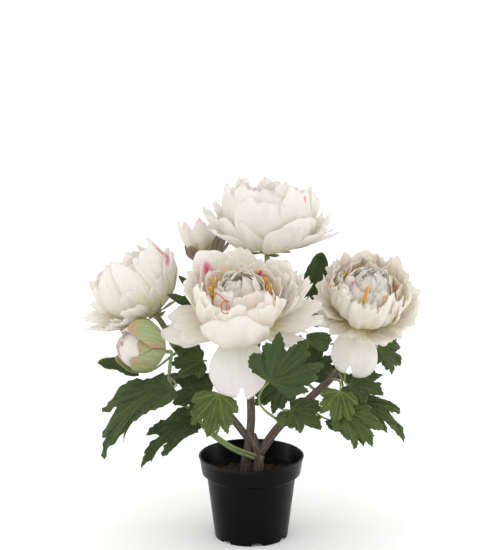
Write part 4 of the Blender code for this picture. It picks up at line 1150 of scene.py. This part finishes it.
def makeStemMaterial():
    material, tree, shader = newMaterial("stem bark", 0.65)
    green, roundX, roundY, along = readValues(tree, "green", "roundX", "roundY", "lengthMm")
    where = vector(tree, times(tree, roundX, 2.6), times(tree, roundY, 2.6), times(tree, along, 0.075))
    grain = cloudy(tree, where, 1.6, 5.0, 0.65)
    patches = cloudy(tree, where, 0.55, 3.0)
    bark = tint(tree, fade(tree, grain, 0.35, 0.65), *stemForm["bark"])
    bark = tint(tree, fade(tree, patches, 0.5, 0.75, 0.0, 0.6), bark, stemForm["patches"])
    shoot = tint(tree, fade(tree, grain, 0.3, 0.7), *stemForm["shoot"])
    shoot = tint(tree, fade(tree, patches, 0.55, 0.8, 0.0, 0.5), shoot, stemForm["blush"])
    turn = plus(tree, green, fade(tree, patches, 0.2, 0.8, -0.3, 0.3))
    colour = tint(tree, fade(tree, turn, 0.35, 0.65), bark, shoot)
    paint(tree, shader, colour, fade(tree, green, 0.2, 0.8, 0.78, 0.5))
    relief(tree, shader, times(tree, grain, fade(tree, green, 0.2, 0.8, 1.0, 0.35)), 0.8, 0.0016)
    return material


def stemPoints(name):
    points = [Vector(p) for p in stems[name][0]]
    flower = blooms.get(name) or buds.get(name)
    if flower:
        base = Vector(flower["base"])
        axis = Vector(flower["faces"]).normalized()
        neck = stemForm["underBloom" if name in blooms else "underBud"]
        points += [base - axis * neck, base - axis * neck * 0.2, base]
    return points


def stemPart(name, lift=0.0, footShare=1.0, endShare=1.0):
    _, foot, end, green, endGreen = stems[name]
    foot, end = foot * footShare, end * endShare
    path = smoothPath(stemPoints(name), 10)
    path = [point + Vector((0, 0, lift * (1 - i / len(path)))) for i, point in enumerate(path)]
    draw = random.Random(name)
    phase = draw.uniform(0, 6.3)
    total = pathLength(path)
    knots = [draw.uniform(0.2, 0.9) for _ in range(2)]

    def radius(s, angle):
        ridges = 0.05 * math.sin(5 * angle + 3 * s + phase) + 0.03 * math.sin(9 * angle - 8 * s + 2 * phase)
        swell = sum(0.16 * math.exp(-((s - knot) / 0.025) ** 2) for knot in knots)
        spot = Vector((3 * math.cos(angle), 3 * math.sin(angle), s * total * 0.12 + phase))
        return (foot + (end - foot) * s) * (0.97 + ridges + swell + 0.05 * noise.noise(spot))

    rings, faces, values = tubePart(path, radius, 20, {})
    share = values["stemShare"]
    values["green"] = green + (endGreen - green) * share
    values["lengthMm"] = share * total + 40 * draw.random()
    return rings, faces, values


def stalkPath(name):
    foot, tip, looks, _, arch, _, _, stem, share = leaves[name]
    place = leafPlace(Vector(foot), Vector(tip), looks, arch)
    along = place.col[1].to_3d()
    end = Vector(foot) - along * stemForm["stalkGap"]
    path = smoothPath(stemPoints(stem), 4)
    spot = share * (len(path) - 1)
    low = min(int(spot), len(path) - 2)
    root = path[low].lerp(path[low + 1], spot - low)
    run = (path[low + 1] - path[low]).normalized()
    away = end - root
    away = (away - 0.7 * away.dot(run) * run).normalized()
    reach = (end - root).length
    b, c = root + away * reach * 0.4, end - along * reach * 0.35
    shares = [i / 16 for i in range(17)]
    return [(1 - u) ** 3 * root + 3 * u * (1 - u) ** 2 * b + 3 * u * u * (1 - u) * c + u**3 * end
            for u in shares]


def stalkPart(name):
    path = stalkPath(name)
    draw = random.Random("stalk " + name)

    def radius(s, angle):
        thick = float(np.interp(s, stemForm["stalkStops"], stemForm["stalkRadii"]))
        return thick * (1 + 0.12 * math.cos(2 * angle))

    rings, faces, values = tubePart(path, radius, 10, {})
    share = values["stemShare"]
    values["green"] = stemForm["stalkGreen"] - 0.5 * draw.random() * (1 - share)
    values["lengthMm"] = share * pathLength(path) + 90 * draw.random()
    return rings, faces, values


def makeStems():
    parts = [stemPart(name) for name in stems if name != "low"]
    parts += [stemPart("low", *thin) for thin in stemForm["pair"]]
    parts += [stalkPart(name) for name in leaves]
    addPiece("branches", parts, makeStemMaterial(), None, "stems")


makeStems()
print("stems ready")


# Pot and soil

# in mm, but for the counts of notches and holes, firstNotch, taper and the colours
pot = {
    "height": 96, "rim": 60, "band": 56, "body": 50.5, "foot": 41.5, "lip": 1.1,
    "bandHeight": 21, "shoulder": 4,  # of the rim band, and how far below it the body ends
    "wall": 1.2, "raise": 4, "corner": 1.4,  # thickness, and how high and how round the floor is
    "pad": 13,  # radius of the floor's middle, which stands on the ground
    "notches": 7, "notchWidth": 15, "notchHeight": 3.7, "rounding": 1.2,
    "firstNotch": -81, "taper": 0.72,  # in degrees, and the width at a notch's top as a share
    "holes": 5, "holeRadius": 3.5, "holeRing": 29,
    "plastic": ((0.0008, 0.0008, 0.001), (0.002, 0.002, 0.0026)), "dust": (0.035, 0.031, 0.028),
}


def makePotMaterial():
    material, tree, shader = newMaterial("black plastic", 0.34, 0.09)
    where = ownPlace(tree)
    clouds = cloudy(tree, where, 38.0, 4.0)
    fine = cloudy(tree, where, 900.0, 2.0)
    stretched = addNode(tree, "Mapping", {"Vector": where, "Scale": (260.0, 260.0, 9.0)})
    drawn = cloudy(tree, stretched, 1.0, 3.0)
    colour = tint(tree, clouds, *pot["plastic"])
    # dust lies along the top of the rim
    height = addNode(tree, "SeparateXYZ", {"Vector": where}, 2)
    dusty = times(tree, fade(tree, height, 0.088, 0.096), fade(tree, clouds, 0.35, 0.7))
    colour = tint(tree, times(tree, dusty, 0.5), colour, pot["dust"])
    rough = fade(tree, clouds, 0.3, 0.7, 0.29, 0.38)
    paint(tree, shader, colour, plus(tree, rough, fade(tree, fine, 0.3, 0.7, -0.02, 0.02)))
    relief(tree, shader, plus(tree, drawn, times(tree, fine, 0.5)), 0.12, 0.0004)
    return material


def arc(centre, radius, start, end, steps):
    angles = [math.radians(start + (end - start) * i / steps) for i in range(steps + 1)]
    return [(centre[0] + radius * math.cos(a), centre[1] + radius * math.sin(a)) for a in angles]


def potProfile():
    wall, rim, band, body, foot = (pot[key] for key in ("wall", "rim", "band", "body", "foot"))
    height, floor, pad, lip, corner = (pot[key] for key in ("height", "raise", "pad", "lip", "corner"))
    bandFoot = height - pot["bandHeight"]
    shoulder = bandFoot - pot["shoulder"]
    inside = [(0.01, wall), (pad, wall), (pad + 4, floor + wall), (foot - wall - 1, floor + wall)]
    inside += arc((foot - wall - 1, floor + wall + corner), corner, -90, -10, 4)
    inside += [(body - wall, shoulder), (body - wall + 1.0, shoulder + 1.6),
               (band - wall - 0.8, bandFoot + 0.4), (band - wall, bandFoot + 1.6),
               (rim - wall - 1.4, height - 1.6)]
    over = arc((rim - lip, height - lip), lip, 150, -60, 12)
    outside = [(rim - 1.0, height - 3.0), (band + 0.15, bandFoot + 0.8), (band - 0.1, bandFoot + 0.2),
               (band - 0.6, bandFoot - 0.1), (body + 0.9, shoulder + 0.6), (body + 0.15, shoulder),
               (body - 0.1, shoulder - 0.9), (foot + 0.2, 0.9), (foot, 0.25), (foot - 0.25, 0)]
    under = [(foot - wall, 0), (foot - wall + 0.1, floor), (pad + 5, floor), (pad, 0), (0.01, 0)]
    return inside + over + outside + under


def notchForm():
    box = bmesh.new()
    bmesh.ops.create_cube(box, size=1)
    size = Vector((8, pot["notchWidth"], 2 * pot["notchHeight"])) * mm
    bmesh.ops.scale(box, verts=box.verts, vec=size)
    for vertex in box.verts:
        if vertex.co.z > 0:
            vertex.co.y *= pot["taper"]
    upper = [edge for edge in box.edges if all(v.co.z > 0 for v in edge.verts)]
    upper = [edge for edge in upper if abs(edge.verts[0].co.x - edge.verts[1].co.x) > mm]
    bmesh.ops.bevel(box, geom=upper, offset=pot["rounding"] * mm, segments=4, affect="EDGES")
    return box


def holeForm():
    drill = bmesh.new()
    radius = pot["holeRadius"] * mm
    bmesh.ops.create_cone(drill, cap_ends=True, segments=32, radius1=radius, radius2=radius, depth=10 * mm)
    return drill


def addCutter(cutters, form, place):
    mesh = bpy.data.meshes.new("cutter")
    form.to_mesh(mesh)
    form.free()
    cutter = bpy.data.objects.new("cutter", mesh)
    cutter.matrix_world = place
    cutters.objects.link(cutter)


def makePot():
    piece = newPiece("nurseryPot", latheMesh("pot", potProfile(), 160), makePotMaterial())
    cutters = bpy.data.collections.new("cutters")
    bpy.context.scene.collection.children.link(cutters)
    for i in range(pot["notches"]):
        turn = Matrix.Rotation(math.radians(pot["firstNotch"] + 360 * i / pot["notches"]), 4, "Z")
        addCutter(cutters, notchForm(), turn @ Matrix.Translation((pot["foot"] * mm, 0, 0)))
    ring, floor = pot["holeRing"] * mm, pot["raise"] * mm
    for i in range(pot["holes"]):
        angle = 2 * math.pi * i / pot["holes"]
        place = Matrix.Translation((ring * math.cos(angle), ring * math.sin(angle), floor))
        addCutter(cutters, holeForm(), place)
    cut = piece.modifiers.new("cuts", "BOOLEAN")
    cut.operation = "DIFFERENCE"
    cut.operand_type = "COLLECTION"
    cut.collection = cutters
    applyModifiers(piece)
    for cutter in list(cutters.objects):
        bpy.data.objects.remove(cutter)
    bpy.data.collections.remove(cutters)
    piece.data.shade_smooth()
    piece.data.set_sharp_from_angle(angle=sharpEdge)
    standsFor(piece, "pot")


soil = {
    "top": 70, "mound": 5, "relief": 1.6, "gap": 0.5,  # height at the wall, rise, bumps, and gap to the pot
    "rings": 44, "sides": 120,  # of its mesh
    "crumbs": 460, "crumb": (0.7, 2.3), "fine": 1.2,  # their size, and above which the mesh is finer
    "chips": 0.14, "chipShape": (2.4, 0.8, 0.5), "seed": 9,  # share of wood chips, and their stretch
    "lumps": ((0.016, 0.008, 0.005), (0.060, 0.028, 0.016)),
    "specks": (0.075, 0.048, 0.028), "fibre": (0.085, 0.052, 0.03),
}


def soilRadius(height):
    share = height / (pot["height"] - pot["bandHeight"] - pot["shoulder"])
    return pot["foot"] + (pot["body"] - pot["foot"]) * share - pot["wall"] - soil["gap"]


def makeSoilMaterial():
    material, tree, shader = newMaterial("potting soil", 0.95)
    where = ownPlace(tree)
    lumps = cloudy(tree, where, 260.0, 6.0, 0.7)
    fine = cloudy(tree, where, 1500.0, 3.0, 0.6)
    colour = tint(tree, fade(tree, lumps, 0.35, 0.65), *soil["lumps"])
    colour = tint(tree, fade(tree, fine, 0.62, 0.72, 0.0, 0.6), colour, soil["specks"])
    [fibre] = readValues(tree, "fibre")
    paint(tree, shader, tint(tree, fibre, colour, soil["fibre"]))
    relief(tree, shader, plus(tree, lumps, times(tree, fine, 0.4)), 0.9, 0.0015)
    return material


def soilHeight(x, y):
    share = math.hypot(x, y) / soilRadius(soil["top"])
    spot = Vector((x, y, 0)) * 0.09
    bumps = noise.noise(spot) + 0.6 * noise.noise(spot * 2.7) + 0.35 * noise.noise(spot * 7)
    return soil["top"] + soil["mound"] * (1 - share**2) + soil["relief"] * bumps


def makeCrumb(draw, edge):
    r, angle = edge * math.sqrt(draw.random()) * 0.97, draw.uniform(0, 2 * math.pi)
    x, y = r * math.cos(angle), r * math.sin(angle)
    size = draw.uniform(*soil["crumb"]) * draw.uniform(0.5, 1)
    chip = draw.random() < soil["chips"]
    form = bmesh.new()
    bmesh.ops.create_icosphere(form, subdivisions=2 if size > soil["fine"] else 1, radius=1)
    turn = Matrix.Rotation(draw.uniform(0, 6.3), 3, "Z") @ Matrix.Rotation(draw.uniform(-0.5, 0.5), 3, "X")
    stretch = Vector(soil["chipShape"] if chip else (1, draw.uniform(0.7, 1), draw.uniform(0.6, 0.9)))
    lump = Vector((draw.uniform(0, 99), 0, 0))
    middle = Vector((x, y, soilHeight(x, y) + size * 0.2))
    points = []
    for vertex in form.verts:
        rough = 1 + 0.35 * noise.noise(vertex.co * 1.6 + lump)
        points.append(turn @ (vertex.co * rough * size * stretch) + middle)
    faces = [tuple(v.index for v in face.verts) for face in form.faces]
    form.free()
    return points, faces, {"fibre": draw.uniform(0.3, 0.9) if chip else draw.uniform(0, 0.15)}


def makeSoil():
    edge, rings, sides = soilRadius(soil["top"]), soil["rings"], soil["sides"]
    floor = pot["raise"] + pot["wall"] + soil["gap"]
    # rings of the top, then of the wall: radius, and height where it is even
    levels = [(edge * i / rings, None) for i in range(1, rings + 1)]
    levels += [(soilRadius(height), height) for height in (soil["top"] * 0.5, floor)]
    points = [(0, 0, soilHeight(0, 0))]
    for r, height in levels:
        for j in range(sides):
            angle = 2 * math.pi * j / sides
            x, y = r * math.cos(angle), r * math.sin(angle)
            points.append((x, y, soilHeight(x, y) if height is None else height))
    points.append((0, 0, floor))
    faces = [(0, 1 + j, 1 + (j + 1) % sides) for j in range(sides)]
    for i in range(rings + 1):
        a, b = 1 + i * sides, 1 + (i + 1) * sides
        for j in range(sides):
            k = (j + 1) % sides
            faces.append((a + j, b + j, b + k, a + k))
    last = 1 + (rings + 1) * sides
    faces += [(len(points) - 1, last + (j + 1) % sides, last + j) for j in range(sides)]
    draw = random.Random(soil["seed"])
    parts = [(points, faces, {"fibre": 0.0})] + [makeCrumb(draw, edge) for _ in range(soil["crumbs"])]
    addPiece("pottingSoil", parts, makeSoilMaterial(), None, "soil")


makePot()
makeSoil()
print("pot and soil ready")

# Check of sizes

triangles = 0
large = 60000  # pieces with more triangles than this are named
for shown in bpy.data.objects:
    if shown.type == "MESH" and not shown.hide_render and shown.name != "floor":
        count = sum(len(face.vertices) - 2 for face in shown.data.polygons)
        triangles += count
        if count > large:
            print(shown.name, count, "triangles")
print("triangles in all:", triangles)
